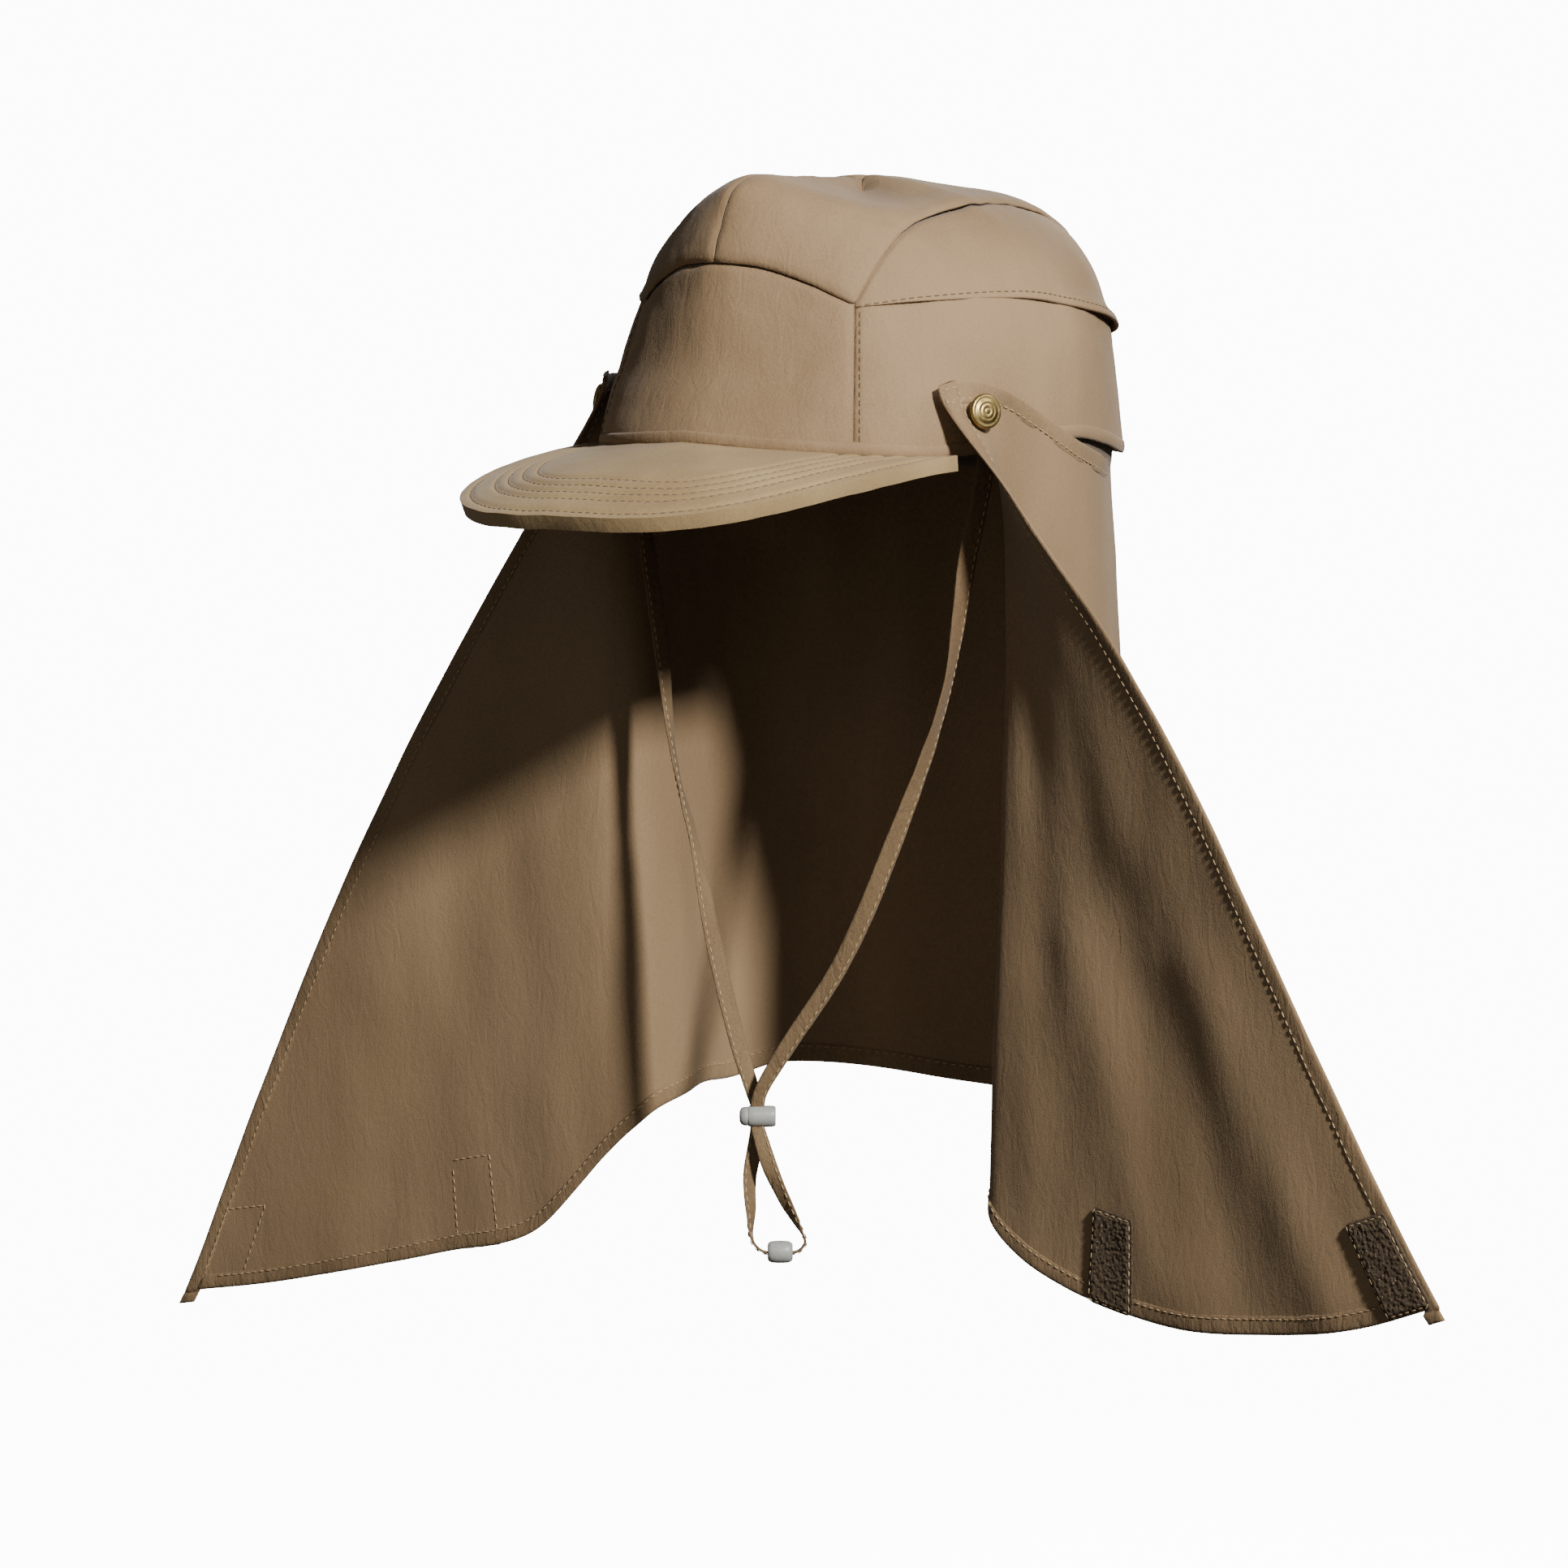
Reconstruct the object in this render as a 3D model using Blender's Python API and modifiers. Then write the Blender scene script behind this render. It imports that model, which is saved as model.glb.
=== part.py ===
"""A legionnaire cap: a cloth crown with a stiff peak, a neck flap swung open, snaps and a chin strap.

Metres, +Z up. The origin is the centre of the head opening, level with the rim. The front is -Y and the
wearer's left is +X. A turn is an angle round the head in degrees: 0 at the front, 90 at the left ear and
180 at the back of the head, and a negative turn is on the wearer's right.
"""
import math
from functools import lru_cache

import bmesh
import bpy
import numpy as np
from mathutils import Matrix, Vector

# Crown
CROWN_HALF_WIDTH = 0.0855
CROWN_HALF_LENGTH = 0.103
CROWN_HEIGHT = 0.0940
CROWN_WALL = 0.0016
CROWN_FLARE = 0.0030
CROWN_FLARE_TURN = 96.0
SEAM_GAP = 0.0006
HEM_GAP = 0.0008
FRONT_PANEL_TURN = 41.0
TOP_CORNER_TURN = 0.0
SIDE_PANEL_FRONT_TURN = 42.5
SIDE_PANEL_BACK_TURN = 156.0
SIDE_SEAM_START = 0.02
SIDE_SEAM_END = 0.98
# The centre seam's ends as shares of the crown's half length, and its top as a share of the height.
CENTRE_SEAM_FRONT = 0.84
CENTRE_SEAM_BACK = 0.985
CENTRE_SEAM_TOP = 1.02

# Peak
PEAK_TURN = 60.0
PEAK_REACH = 0.070
PEAK_HALF_WIDTH = 0.0815
PEAK_DROP = 0.0232
PEAK_THICKNESS = 0.0055
PEAK_SQUARENESS = 2.8
PEAK_DROP_CURVE = 1.5
PEAK_ARCH = 0.0035

# Flap
FLAP_DROP = 0.290
FLAP_REACH = 0.282
FLAP_CLOTH = 0.0013
FLAP_HEM = 0.0072
FLAP_HEM_CLOTH = 0.0020
# How far each wing's edge bows out from a straight line, and how fast the bow fades down the wing.
FLAP_BOW_LEFT = 0.137
FLAP_BOW_FADE_LEFT = 2.0
FLAP_BOW_RIGHT = 0.082
FLAP_BOW_FADE_RIGHT = 1.3
# The flap lies on the crown for about this share of its drop before it swings out.
FLAP_PINNED = 0.03
FLAP_LAP = 0.0014
TAB_LENGTH = 0.0020
# Rows of the flap's surface lie closer together near its top, by this power.
ROW_CROWDING = 1.4

# Snaps
SNAP_DIAMETER = 0.0124
SNAP_DOME = 0.0026
SNAP_POST = 0.0040
SNAP_TURN = 67.3
SNAP_RISE = 0.0138
STUD_DIAMETER = 0.0090
STUD_HEIGHT = 0.0014

# Closures at the bottom corners
PATCH_WIDTH = 0.0212
PATCH_HEIGHT = 0.0370
PATCH_THICKNESS = 0.0014

# How far along the hem each patch starts from the front edge, as a share of the flap's reach, and how far
# its top leans away from that edge, as a share of the patch's height.
PATCH_PLACES = (
    # name, side, start, lean
    ("loop_patch_front", 1, 0.005, 0.00),
    ("loop_patch_rear", 1, 0.492, -0.27),
    ("hook_patch_front", -1, 0.018, 0.00),
    ("hook_patch_rear", -1, 0.440, -0.27),
)

# Chin strap
STRAP_WIDTH = 0.0080
STRAP_THICKNESS = 0.0012
LOCK_LENGTH = 0.0130
LOCK_DIAMETER = 0.0076
BEAD_LENGTH = 0.0092
BEAD_DIAMETER = 0.0080

CLEARANCE = 0.0003

# Crown profiles from the rim up: how far out, as a share of the half length or half width, and how high
# above the origin, as a share of the crown's height.
FRONT_PROFILE = (
    # out, rise
    (1.010, -0.080),
    (1.000, 0.045),
    (0.945, 0.180),
    (0.885, 0.320),
    (0.848, 0.520),
    (0.816, 0.700),
    (0.772, 0.850),
    (0.716, 0.960),
    (0.640, 1.008),
    (0.450, 1.012),
    (0.230, 1.008),
    (0.000, 1.000),
)
SIDE_PROFILE = (
    (1.000, -0.080),
    (1.000, 0.040),
    (0.988, 0.250),
    (0.965, 0.410),
    (0.920, 0.540),
    (0.875, 0.650),
    (0.800, 0.755),
    (0.690, 0.850),
    (0.560, 0.920),
    (0.400, 0.955),
    (0.200, 0.988),
    (0.000, 1.000),
)
BACK_PROFILE = (
    (1.000, -0.080),
    (1.000, 0.040),
    (0.995, 0.250),
    (0.985, 0.410),
    (0.960, 0.540),
    (0.925, 0.655),
    (0.870, 0.755),
    (0.785, 0.845),
    (0.650, 0.915),
    (0.420, 0.955),
    (0.200, 0.988),
    (0.000, 1.000),
)
CROWN_CENTRE_RISE = 0.2
# The front corners are flatter than an ellipse from this elevation up, as a superellipse's power.
CROWN_CORNER_POWER = 1.60
CROWN_CORNER_ELEVATION = math.radians(45)

# Heights round the crown, each as a share of the crown's height.
RIM_LINE = (
    # turn, rise
    (0, 0.049),
    (43, 0.010),
    (60, 0.000),
    (72, 0.016),
    (98, 0.054),
    (112, 0.020),
    (125, -0.020),
    (150, -0.035),
    (180, -0.040),
)
YOKE_LINE = (
    (0, 0.705),
    (15, 0.690),
    (28, 0.635),
    (40, 0.560),
)
BAND_LINE = (
    (38, 0.560),
    (60, 0.585),
    (85, 0.590),
    (105, 0.545),
    (125, 0.480),
    (145, 0.425),
    (180, 0.375),
)
# The seam between the top and side panels, from the front corner back: shares of the crown's half width,
# half length and height.
SIDE_TOP_SEAM = (
    # across, along, rise
    (0.585, -0.573, 0.560),
    (0.590, -0.470, 0.710),
    (0.590, -0.330, 0.850),
    (0.585, -0.170, 0.910),
    (0.580, 0.020, 0.920),
    (0.540, 0.200, 0.925),
    (0.490, 0.420, 0.880),
    (0.455, 0.640, 0.790),
    (0.430, 0.820, 0.640),
    (0.421, 0.900, 0.440),
)

# The flap hangs from ribs, one side listed from its front edge to the middle of the back. Each has its turn
# on the crown, how many laps its top lies outside the crown's wall, its rise there as a share of the crown's
# height, and its hem: across as a share of the flap's reach, along as a share of the crown's half length,
# and the drops at the wearer's left and right as shares of the flap's drop. The wing is its share of the bow.
FLAP_RIBS = (
    # turn, laps, rise, across, along, left_drop, right_drop, wing
    (59.3, 1.0, 0.240, 1.000, -0.485, 0.965, 1.120, 1.00),
    (61.6, 1.0, 0.255, 0.870, -0.440, 1.005, 1.100, 0.85),
    (64.0, 1.0, 0.262, 0.730, -0.390, 1.027, 1.072, 0.68),
    (66.5, 1.0, 0.264, 0.590, -0.340, 1.034, 1.040, 0.50),
    (69.0, 1.0, 0.260, 0.450, -0.305, 1.014, 1.004, 0.32),
    (72.0, 1.3, 0.245, 0.335, -0.285, 0.974, 0.900, 0.14),
    (77.0, 1.6, 0.210, 0.272, -0.245, 0.925, 0.843, 0.03),
    (86.0, 1.7, 0.122, 0.270, -0.070, 0.880, 0.823, 0.00),
    (96.0, 1.5, 0.035, 0.288, 0.100, 0.862, 0.815, 0.00),
    (107.0, 0.4, -0.020, 0.295, 0.290, 0.852, 0.816, 0.00),
    (120.0, -2.0, -0.050, 0.275, 0.530, 0.846, 0.803, 0.00),
    (138.0, -2.4, 0.030, 0.210, 0.800, 0.844, 0.812, 0.00),
    (158.0, -2.2, 0.050, 0.110, 0.965, 0.843, 0.829, 0.00),
    (180.0, -2.2, 0.050, 0.000, 1.019, 0.838, 0.838, 0.00),
)

# The chin strap's route, chosen by hand, from the wearer's left anchor through the lock, round the loop and
# its bead, and back up to the right anchor. Turned is the plan angle, in degrees from +X, of the line
# across the ribbon, and width is a share of the strap's width.
STRAP_ROUTE = (
    # x, y, z, turned, width
    (0.0786, -0.0300, 0.0060, 76, 1.00),
    (0.0779, -0.0312, -0.0080, 76, 1.00),
    (0.0745, -0.0355, -0.0350, 70, 0.95),
    (0.0676, -0.0400, -0.0850, 100, 0.90),
    (0.0507, -0.0460, -0.1350, 60, 0.85),
    (0.0320, -0.0530, -0.1800, 20, 0.78),
    (0.0095, -0.0595, -0.2150, 30, 0.70),
    (0.0020, -0.0612, -0.2280, 38, 0.62),
    (0.0005, -0.0607, -0.2330, 38, 0.62),
    (0.0005, -0.0607, -0.2390, 38, 0.62),
    (0.0030, -0.0612, -0.2450, 38, 0.66),
    (0.0062, -0.0605, -0.2540, 25, 0.72),
    (0.0105, -0.0580, -0.2650, 0, 0.72),
    (0.0145, -0.0555, -0.2740, -25, 0.68),
    (0.0164, -0.0537, -0.2806, -52, 0.58),
    (0.0137, -0.0548, -0.2837, -52, 0.56),
    (0.0090, -0.0585, -0.2838, -52, 0.56),
    (0.0043, -0.0622, -0.2837, -52, 0.56),
    (0.0009, -0.0637, -0.2804, -58, 0.58),
    (-0.0015, -0.0620, -0.2700, -85, 0.70),
    (-0.0035, -0.0600, -0.2580, -115, 0.72),
    (-0.0020, -0.0590, -0.2470, -135, 0.66),
    (-0.0005, -0.0593, -0.2390, -142, 0.62),
    (-0.0005, -0.0593, -0.2330, -142, 0.62),
    (-0.0035, -0.0585, -0.2270, -142, 0.66),
    (-0.0116, -0.0560, -0.2120, -130, 0.76),
    (-0.0273, -0.0510, -0.1750, -110, 0.85),
    (-0.0379, -0.0475, -0.1436, -80, 0.88),
    (-0.0514, -0.0430, -0.1120, -60, 0.92),
    (-0.0597, -0.0400, -0.0715, -100, 0.95),
    (-0.0710, -0.0355, -0.0300, -90, 1.00),
    (-0.0779, -0.0312, -0.0080, -76, 1.00),
    (-0.0786, -0.0300, 0.0060, -76, 1.00),
)
STRAP_STEPS = 110
LOCK_PLACE = Vector((0.0, -0.0600, -0.2360))
BEAD_PLACE = Vector((0.0090, -0.0585, -0.2838))
LOCK_TURNED = 38
STRAP_SPACING = 0.0018
STRAP_LOCK_WIDTH = 0.0052
STRAP_BEAD_WIDTH = 0.0047

CLOTH_COLOUR = (0.262, 0.190, 0.118)
STRAP_COLOUR = (0.240, 0.170, 0.100)
PATCH_COLOUR = (0.075, 0.058, 0.043)
BRASS_COLOUR = (0.420, 0.310, 0.110)
PLASTIC_COLOUR = (0.560, 0.560, 0.520)


def smooth(keys, values, key):
    """Read a table at a key, along a smooth curve through its rows."""
    keys = np.asarray(keys, dtype=float)
    values = np.asarray(values, dtype=float)
    steps = np.diff(keys)
    slopes = np.diff(values, axis=0) / steps.reshape((-1,) + (1,) * (values.ndim - 1))
    tangents = np.concatenate([slopes[:1], (slopes[1:] + slopes[:-1]) / 2, slopes[-1:]])
    row = int(np.clip(np.searchsorted(keys, key) - 1, 0, len(steps) - 1))
    step = steps[row]
    part = float(np.clip((key - keys[row]) / step, 0.0, 1.0))
    start = (1 + 2 * part) * (1 - part) ** 2 * values[row] + part * (1 - part) ** 2 * step * tangents[row]
    end = part**2 * (3 - 2 * part) * values[row + 1] + part**2 * (part - 1) * step * tangents[row + 1]
    return start + end


def table_at(rows, key, column=1):
    return float(smooth([row[0] for row in rows], [row[column] for row in rows], key))


CROWN_CENTRE = Vector((0.0, 0.0, CROWN_CENTRE_RISE * CROWN_HEIGHT))


def profile_in_polar(profile, half_size):
    """Turn a profile into elevations and radii seen from the crown's centre."""
    outs = np.array([row[0] for row in profile]) * half_size
    rises = np.array([row[1] for row in profile]) * CROWN_HEIGHT - CROWN_CENTRE.z
    return np.arctan2(rises, outs), np.hypot(rises, outs)


FRONT_POLAR = profile_in_polar(FRONT_PROFILE, CROWN_HALF_LENGTH)
SIDE_POLAR = profile_in_polar(SIDE_PROFILE, CROWN_HALF_WIDTH)
BACK_POLAR = profile_in_polar(BACK_PROFILE, CROWN_HALF_LENGTH)


def crown_radius(direction):
    """Distance from the crown's centre to its outer face, blended between the front, side and back."""
    flat = math.hypot(direction.x, direction.y)
    elevation = math.atan2(direction.z, flat)
    side = float(smooth(*SIDE_POLAR, elevation))
    end = float(smooth(*(FRONT_POLAR if direction.y < 0 else BACK_POLAR), elevation))
    across = abs(direction.x) / max(flat, 1e-9)
    along = abs(direction.y) / max(flat, 1e-9)
    corner = max(0.0, min(1.0, elevation / CROWN_CORNER_ELEVATION)) if direction.y < 0 else 0.0
    power = 2.0 + (CROWN_CORNER_POWER - 2.0) * corner
    return ((across / side) ** power + (along / end) ** power) ** (-1.0 / power)


def on_crown(guess, outward=0.0):
    """The point of the crown's outer face that a guess lies under, moved outward along the same line."""
    direction = (Vector(guess) - CROWN_CENTRE).normalized()
    return CROWN_CENTRE + direction * (crown_radius(direction) + outward)


def crown_at(turn, rise, outward=0.0):
    """The crown's outer face at a turn round the head and a height above the origin, in metres."""
    angle = math.radians(turn)
    heading = Vector((CROWN_HALF_WIDTH * math.sin(angle), -CROWN_HALF_LENGTH * math.cos(angle), 0.0))
    flat = heading.length
    heading.normalize()
    for _ in range(12):
        direction = (heading * flat + Vector((0.0, 0.0, rise - CROWN_CENTRE.z))).normalized()
        flat = crown_radius(direction) * math.hypot(direction.x, direction.y)
    return heading * (flat + outward) + Vector((0.0, 0.0, rise))


def rim_rise(turn):
    return CROWN_HEIGHT * table_at(RIM_LINE, abs(turn))


def place_at(table, share):
    """A point of a table of shares of the crown's half width, half length and height."""
    keys = np.linspace(0.0, 1.0, len(table))
    sizes = np.array([CROWN_HALF_WIDTH, CROWN_HALF_LENGTH, CROWN_HEIGHT])
    return Vector(smooth(keys, np.array(table) * sizes, share))


def material(name, colour, roughness=0.85, metallic=0.0):
    made = bpy.data.materials.new(name)
    made.use_nodes = True
    shader = made.node_tree.nodes["Principled BSDF"]
    shader.inputs["Base Color"].default_value = (*colour, 1.0)
    shader.inputs["Roughness"].default_value = roughness
    shader.inputs["Metallic"].default_value = metallic
    return made


def add_object(name, mesh_maker, look, collection):
    """Make a named object from a function that fills a bmesh."""
    shape = bmesh.new()
    mesh_maker(shape)
    mesh = bpy.data.meshes.new(name)
    shape.to_mesh(mesh)
    shape.free()
    mesh.shade_smooth()
    mesh.set_sharp_from_angle(angle=math.radians(35))
    made = bpy.data.objects.new(name, mesh)
    made.data.materials.append(look)
    collection.objects.link(made)
    return made


def add_sheet(name, place, across, along, thickness, offset, look, collection):
    """A wall laid on a surface: place(u, v) gives the surface's points, u and v from 0 to 1."""

    def fill(shape):
        bmesh.ops.create_grid(shape, x_segments=across, y_segments=along, size=0.5)
        for vert in shape.verts:
            vert.co = place(vert.co.x + 0.5, vert.co.y + 0.5)

    made = add_object(name, fill, look, collection)
    wall = made.modifiers.new("Wall", "SOLIDIFY")
    wall.thickness = thickness
    wall.offset = offset
    return made


def cut(target, cutter):
    """Take a cutter's shape out of an object."""
    hole = target.modifiers.new("Hole", "BOOLEAN")
    hole.operation = "DIFFERENCE"
    hole.solver = "EXACT"
    hole.object = cutter


def mirrored(place, side):
    """Use a place function of the wearer's left on either side, with its faces still looking out."""
    if side > 0:
        return place
    return lambda u, v: Vector((-1, 1, 1)) * place(1 - u, v)


def make_crown(collection, look):
    """Front panel, and on each side a side band, an upper side panel and a top panel."""
    half_gap = SEAM_GAP / 2
    panels = {}

    def front_place(u, v):
        turn = (2 * u - 1) * (FRONT_PANEL_TURN - math.degrees(half_gap / CROWN_HALF_WIDTH))
        low = rim_rise(turn)
        high = CROWN_HEIGHT * table_at(YOKE_LINE, abs(turn)) - half_gap
        return crown_at(turn, low + (high - low) * v)

    def band_place(u, v):
        gap_turn = math.degrees(half_gap / CROWN_HALF_WIDTH)
        turn = FRONT_PANEL_TURN + gap_turn + (180 - FRONT_PANEL_TURN - 2 * gap_turn) * u
        low = rim_rise(turn)
        high = CROWN_HEIGHT * table_at(BAND_LINE, turn) - half_gap
        flare = CROWN_FLARE * (1 - v) ** 4 * max(0.0, math.sin(math.radians(turn - CROWN_FLARE_TURN)))
        return crown_at(turn, low + (high - low) * v, flare)

    def seam_turn(u):
        """Turns along the band seam, where the upper side panel starts and ends."""
        return SIDE_PANEL_FRONT_TURN + (SIDE_PANEL_BACK_TURN - SIDE_PANEL_FRONT_TURN) * u

    def step_in(edge, facing, gap):
        return edge + (facing - edge).normalized() * gap

    def side_place(u, v):
        low = crown_at(seam_turn(u), CROWN_HEIGHT * table_at(BAND_LINE, seam_turn(u)))
        high = place_at(SIDE_TOP_SEAM, SIDE_SEAM_START + (SIDE_SEAM_END - SIDE_SEAM_START) * u)
        guess = step_in(low, high, half_gap).lerp(step_in(high, low, SEAM_GAP), v)
        return on_crown(guess)

    def top_place(u, v):
        """From the centre seam out and from the front yoke back, blended between the four edges."""
        outer = place_at(SIDE_TOP_SEAM, v)
        middle_front = Vector((half_gap, 0.0, 0.0))
        middle_front.y = -CROWN_HALF_LENGTH * CENTRE_SEAM_FRONT
        middle_front.z = CROWN_HEIGHT * table_at(YOKE_LINE, 0)
        middle_back = Vector((half_gap, 0.0, 0.0))
        middle_back.y = CROWN_HALF_LENGTH * CENTRE_SEAM_BACK
        middle_back.z = CROWN_HEIGHT * table_at(BAND_LINE, 180)
        swing = math.pi * v
        top = CROWN_HEIGHT * CENTRE_SEAM_TOP
        middle = Vector((half_gap, 0.0, 0.0))
        middle.y = (middle_front.y + middle_back.y) / 2 - (middle_back.y - middle_front.y) / 2 * math.cos(swing)
        low = middle_front.z + (middle_back.z - middle_front.z) * v
        middle.z = low + (top - low) * math.sin(swing) ** 0.6
        middle = on_crown(middle)
        middle.x = half_gap
        outer = step_in(on_crown(outer), middle, half_gap)
        turn_front = (FRONT_PANEL_TURN + TOP_CORNER_TURN) * u
        front = crown_at(turn_front, CROWN_HEIGHT * table_at(YOKE_LINE, turn_front) + half_gap)
        turn_back = 180 - (180 - SIDE_PANEL_BACK_TURN) * u
        back = crown_at(turn_back, CROWN_HEIGHT * table_at(BAND_LINE, turn_back) + half_gap)
        ruled = middle.lerp(outer, u)
        front_ruled = on_crown(Vector((half_gap, middle_front.y, middle_front.z))).lerp(
            step_in(on_crown(place_at(SIDE_TOP_SEAM, 0.0)), middle, half_gap), u)
        back_ruled = on_crown(middle_back).lerp(
            step_in(on_crown(place_at(SIDE_TOP_SEAM, 1.0)), middle, half_gap), u)
        fade_front = (1 - v) ** 3
        fade_back = v**3
        guess = ruled + (front - front_ruled) * fade_front + (back - back_ruled) * fade_back
        placed = on_crown(guess)
        placed.x = max(placed.x, half_gap)
        return placed

    panels["front"] = add_sheet("front_panel", front_place, 12, 5, CROWN_WALL, -1, look, collection)
    for side, label in ((1, "left"), (-1, "right")):
        panels[label] = add_sheet(
            f"side_band_{label}", mirrored(band_place, side), 22, 4, CROWN_WALL, -1, look, collection)
        add_sheet(f"side_panel_{label}", mirrored(side_place, side), 16, 5, CROWN_WALL, -1, look, collection)
        add_sheet(f"top_panel_{label}", mirrored(top_place, side), 5, 16, CROWN_WALL, 1, look, collection)
    return panels


def make_peak(collection, look):
    """A stiff peak from under the front of the rim to a squarish rounded edge, drooping and lightly arched."""

    def place(u, v):
        turn = (2 * u - 1) * PEAK_TURN
        inner = crown_at(turn, 0.0, -CROWN_WALL)
        inner.z = rim_rise(turn) - CLEARANCE
        swing = (2 * u - 1) * math.pi / 2
        power = 2 / PEAK_SQUARENESS
        end_y = -CROWN_HALF_LENGTH * math.cos(math.radians(PEAK_TURN))
        reach = CROWN_HALF_LENGTH + PEAK_REACH + end_y
        along = abs(math.cos(swing)) ** power
        outer = Vector((PEAK_HALF_WIDTH * math.copysign(abs(math.sin(swing)) ** power, swing), 0.0, 0.0))
        outer.y = end_y - reach * along
        outer.z = rim_rise(turn) - PEAK_DROP * along**PEAK_DROP_CURVE
        point = inner.lerp(outer, v)
        point.z += PEAK_ARCH * math.sin(math.pi * v) * (1 - (2 * u - 1) ** 2)
        return point

    made = add_sheet("peak", place, 24, 5, PEAK_THICKNESS, 1, look, collection)
    edge = made.modifiers.new("Rounded edge", "BEVEL")
    edge.width = PEAK_THICKNESS * 0.36
    edge.segments = 2
    edge.limit_method = "ANGLE"
    edge.angle_limit = math.radians(50)
    return made


def rib_rows():
    """The flap's ribs as places, from the left front edge round the back to the right front edge."""
    rows = []
    for turn, laps, rise, across, along, left_drop, right_drop, wing in FLAP_RIBS:
        top = crown_at(turn, 0.0, laps * FLAP_LAP)
        top.z = rise * CROWN_HEIGHT
        plan = (across * FLAP_REACH, along * CROWN_HALF_LENGTH)
        rows.append(((*top, *plan, -left_drop * FLAP_DROP, wing), (*top, *plan, -right_drop * FLAP_DROP, wing)))
    flip = np.array([-1, 1, 1, -1, 1, 1, -1])
    left = [np.array(pair[0]) for pair in rows]
    right = [np.array(pair[1]) * flip for pair in rows[-2::-1]]
    return np.array(left + right)


RIBS = rib_rows()
RIB_KEYS = np.linspace(0.0, 1.0, len(RIBS))


def flap_at(u, v, outward=0.0):
    """The middle of the flap's cloth: u from the left front edge round to the right one, v down to the hem."""
    row = smooth(RIB_KEYS, RIBS, u)
    top, hem, wing = row[:3], row[3:6], row[6]
    swing = (1 + FLAP_PINNED) * v * abs(v) / (abs(v) + FLAP_PINNED)
    point = Vector((*(top[:2] + (hem[:2] - top[:2]) * swing), top[2] + (hem[2] - top[2]) * v))
    bow, fade = (FLAP_BOW_LEFT, FLAP_BOW_FADE_LEFT) if wing > 0 else (FLAP_BOW_RIGHT, FLAP_BOW_FADE_RIGHT)
    point.x += bow * wing * max(swing, 0.0) * max(1 - swing, 0.0) ** fade
    if outward:
        step = 0.002
        du = flap_at(min(u + step, 1.0), v) - flap_at(max(u - step, 0.0), v)
        dv = flap_at(u, min(v + step, 1.0)) - flap_at(u, max(v - step, 0.0))
        point += dv.cross(du).normalized() * outward
    return point


def share_at_distance(line, distance, most=0.5):
    """The share of a line, read from 0 up, at which it is this far from its start."""
    shares = np.linspace(0.0, most, 60)
    start = line(0.0)
    spans = [(line(share) - start).length for share in shares]
    return float(np.interp(distance, spans, shares))


@lru_cache(maxsize=None)
def hem_share(u, distance):
    """How far down the flap a line lies that stays this distance above the hem."""
    return 1 - share_at_distance(lambda share: flap_at(u, 1 - share), distance)


@lru_cache(maxsize=None)
def edge_share(v, distance):
    """How far in from the left front edge a line lies that stays this distance from it."""
    return share_at_distance(lambda share: flap_at(share, v), distance)


@lru_cache(maxsize=None)
def far_edge_share(v, distance):
    return 1 - share_at_distance(lambda share: flap_at(1 - share, v), distance)


def make_flap(collection, look):
    """The flap's cloth, its front edges and its bottom hem: strips of one surface with a seam gap between."""
    inside = FLAP_HEM + HEM_GAP
    pieces = {}

    def cloth_place(u, v):
        down = v**ROW_CROWDING
        for _ in range(2):
            near = edge_share(down, inside)
            far = far_edge_share(down, inside)
            at = near + (far - near) * u
            down = v**ROW_CROWDING * hem_share(at, inside)
        return flap_at(at, down)

    def left_edge_place(u, v):
        tab = TAB_LENGTH / FLAP_DROP
        down = (1 + tab) * v**ROW_CROWDING
        return flap_at(edge_share(min(down, 1.0), FLAP_HEM) * u, down)

    def right_edge_place(u, v):
        tab = TAB_LENGTH / FLAP_DROP
        down = (1 + tab) * v**ROW_CROWDING
        end = far_edge_share(min(down, 1.0), FLAP_HEM)
        return flap_at(end + (1 - end) * u, down)

    def hem_place(u, v):
        near = edge_share(1.0, inside)
        far = far_edge_share(1.0, inside)
        at = near + (far - near) * u
        high = hem_share(at, FLAP_HEM)
        return flap_at(at, high + (1 - high) * v)

    pieces["cloth"] = add_sheet("flap", cloth_place, 52, 18, FLAP_CLOTH, 0, look, collection)
    pieces["left"] = add_sheet("flap_edge_left", left_edge_place, 1, 36, FLAP_HEM_CLOTH, 0, look, collection)
    pieces["right"] = add_sheet("flap_edge_right", right_edge_place, 1, 36, FLAP_HEM_CLOTH, 0, look, collection)
    pieces["hem"] = add_sheet("flap_hem", hem_place, 52, 1, FLAP_HEM_CLOTH, 0, look, collection)
    return pieces


def make_patches(collection, look):
    """Loop patches inside the left wing and hook patches outside the right wing, over the bottom hem."""
    lift = FLAP_HEM_CLOTH / 2 + CLEARANCE + PATCH_THICKNESS / 2
    for name, side, start, lean in PATCH_PLACES:

        def wing_at(part, v, side=side):
            return flap_at(part if side > 0 else 1 - part, v)

        at = share_at_distance(lambda part: wing_at(part, 1.0), FLAP_REACH * start)
        wide = share_at_distance(lambda part: wing_at(at + part, 1.0), PATCH_WIDTH, 0.2)
        low = share_at_distance(lambda part: wing_at(at, 1 - part), PATCH_HEIGHT)

        shift = wide * lean * PATCH_HEIGHT / PATCH_WIDTH

        def place(u, v, side=side, at=at, wide=wide, low=low, shift=shift):
            across = at + wide * u + shift * (1 - v)
            return flap_at(across if side > 0 else 1 - across, 1 - low * (1 - v), -side * lift)

        add_sheet(name, place, 4, 6, PATCH_THICKNESS, 0, look, collection)


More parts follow.
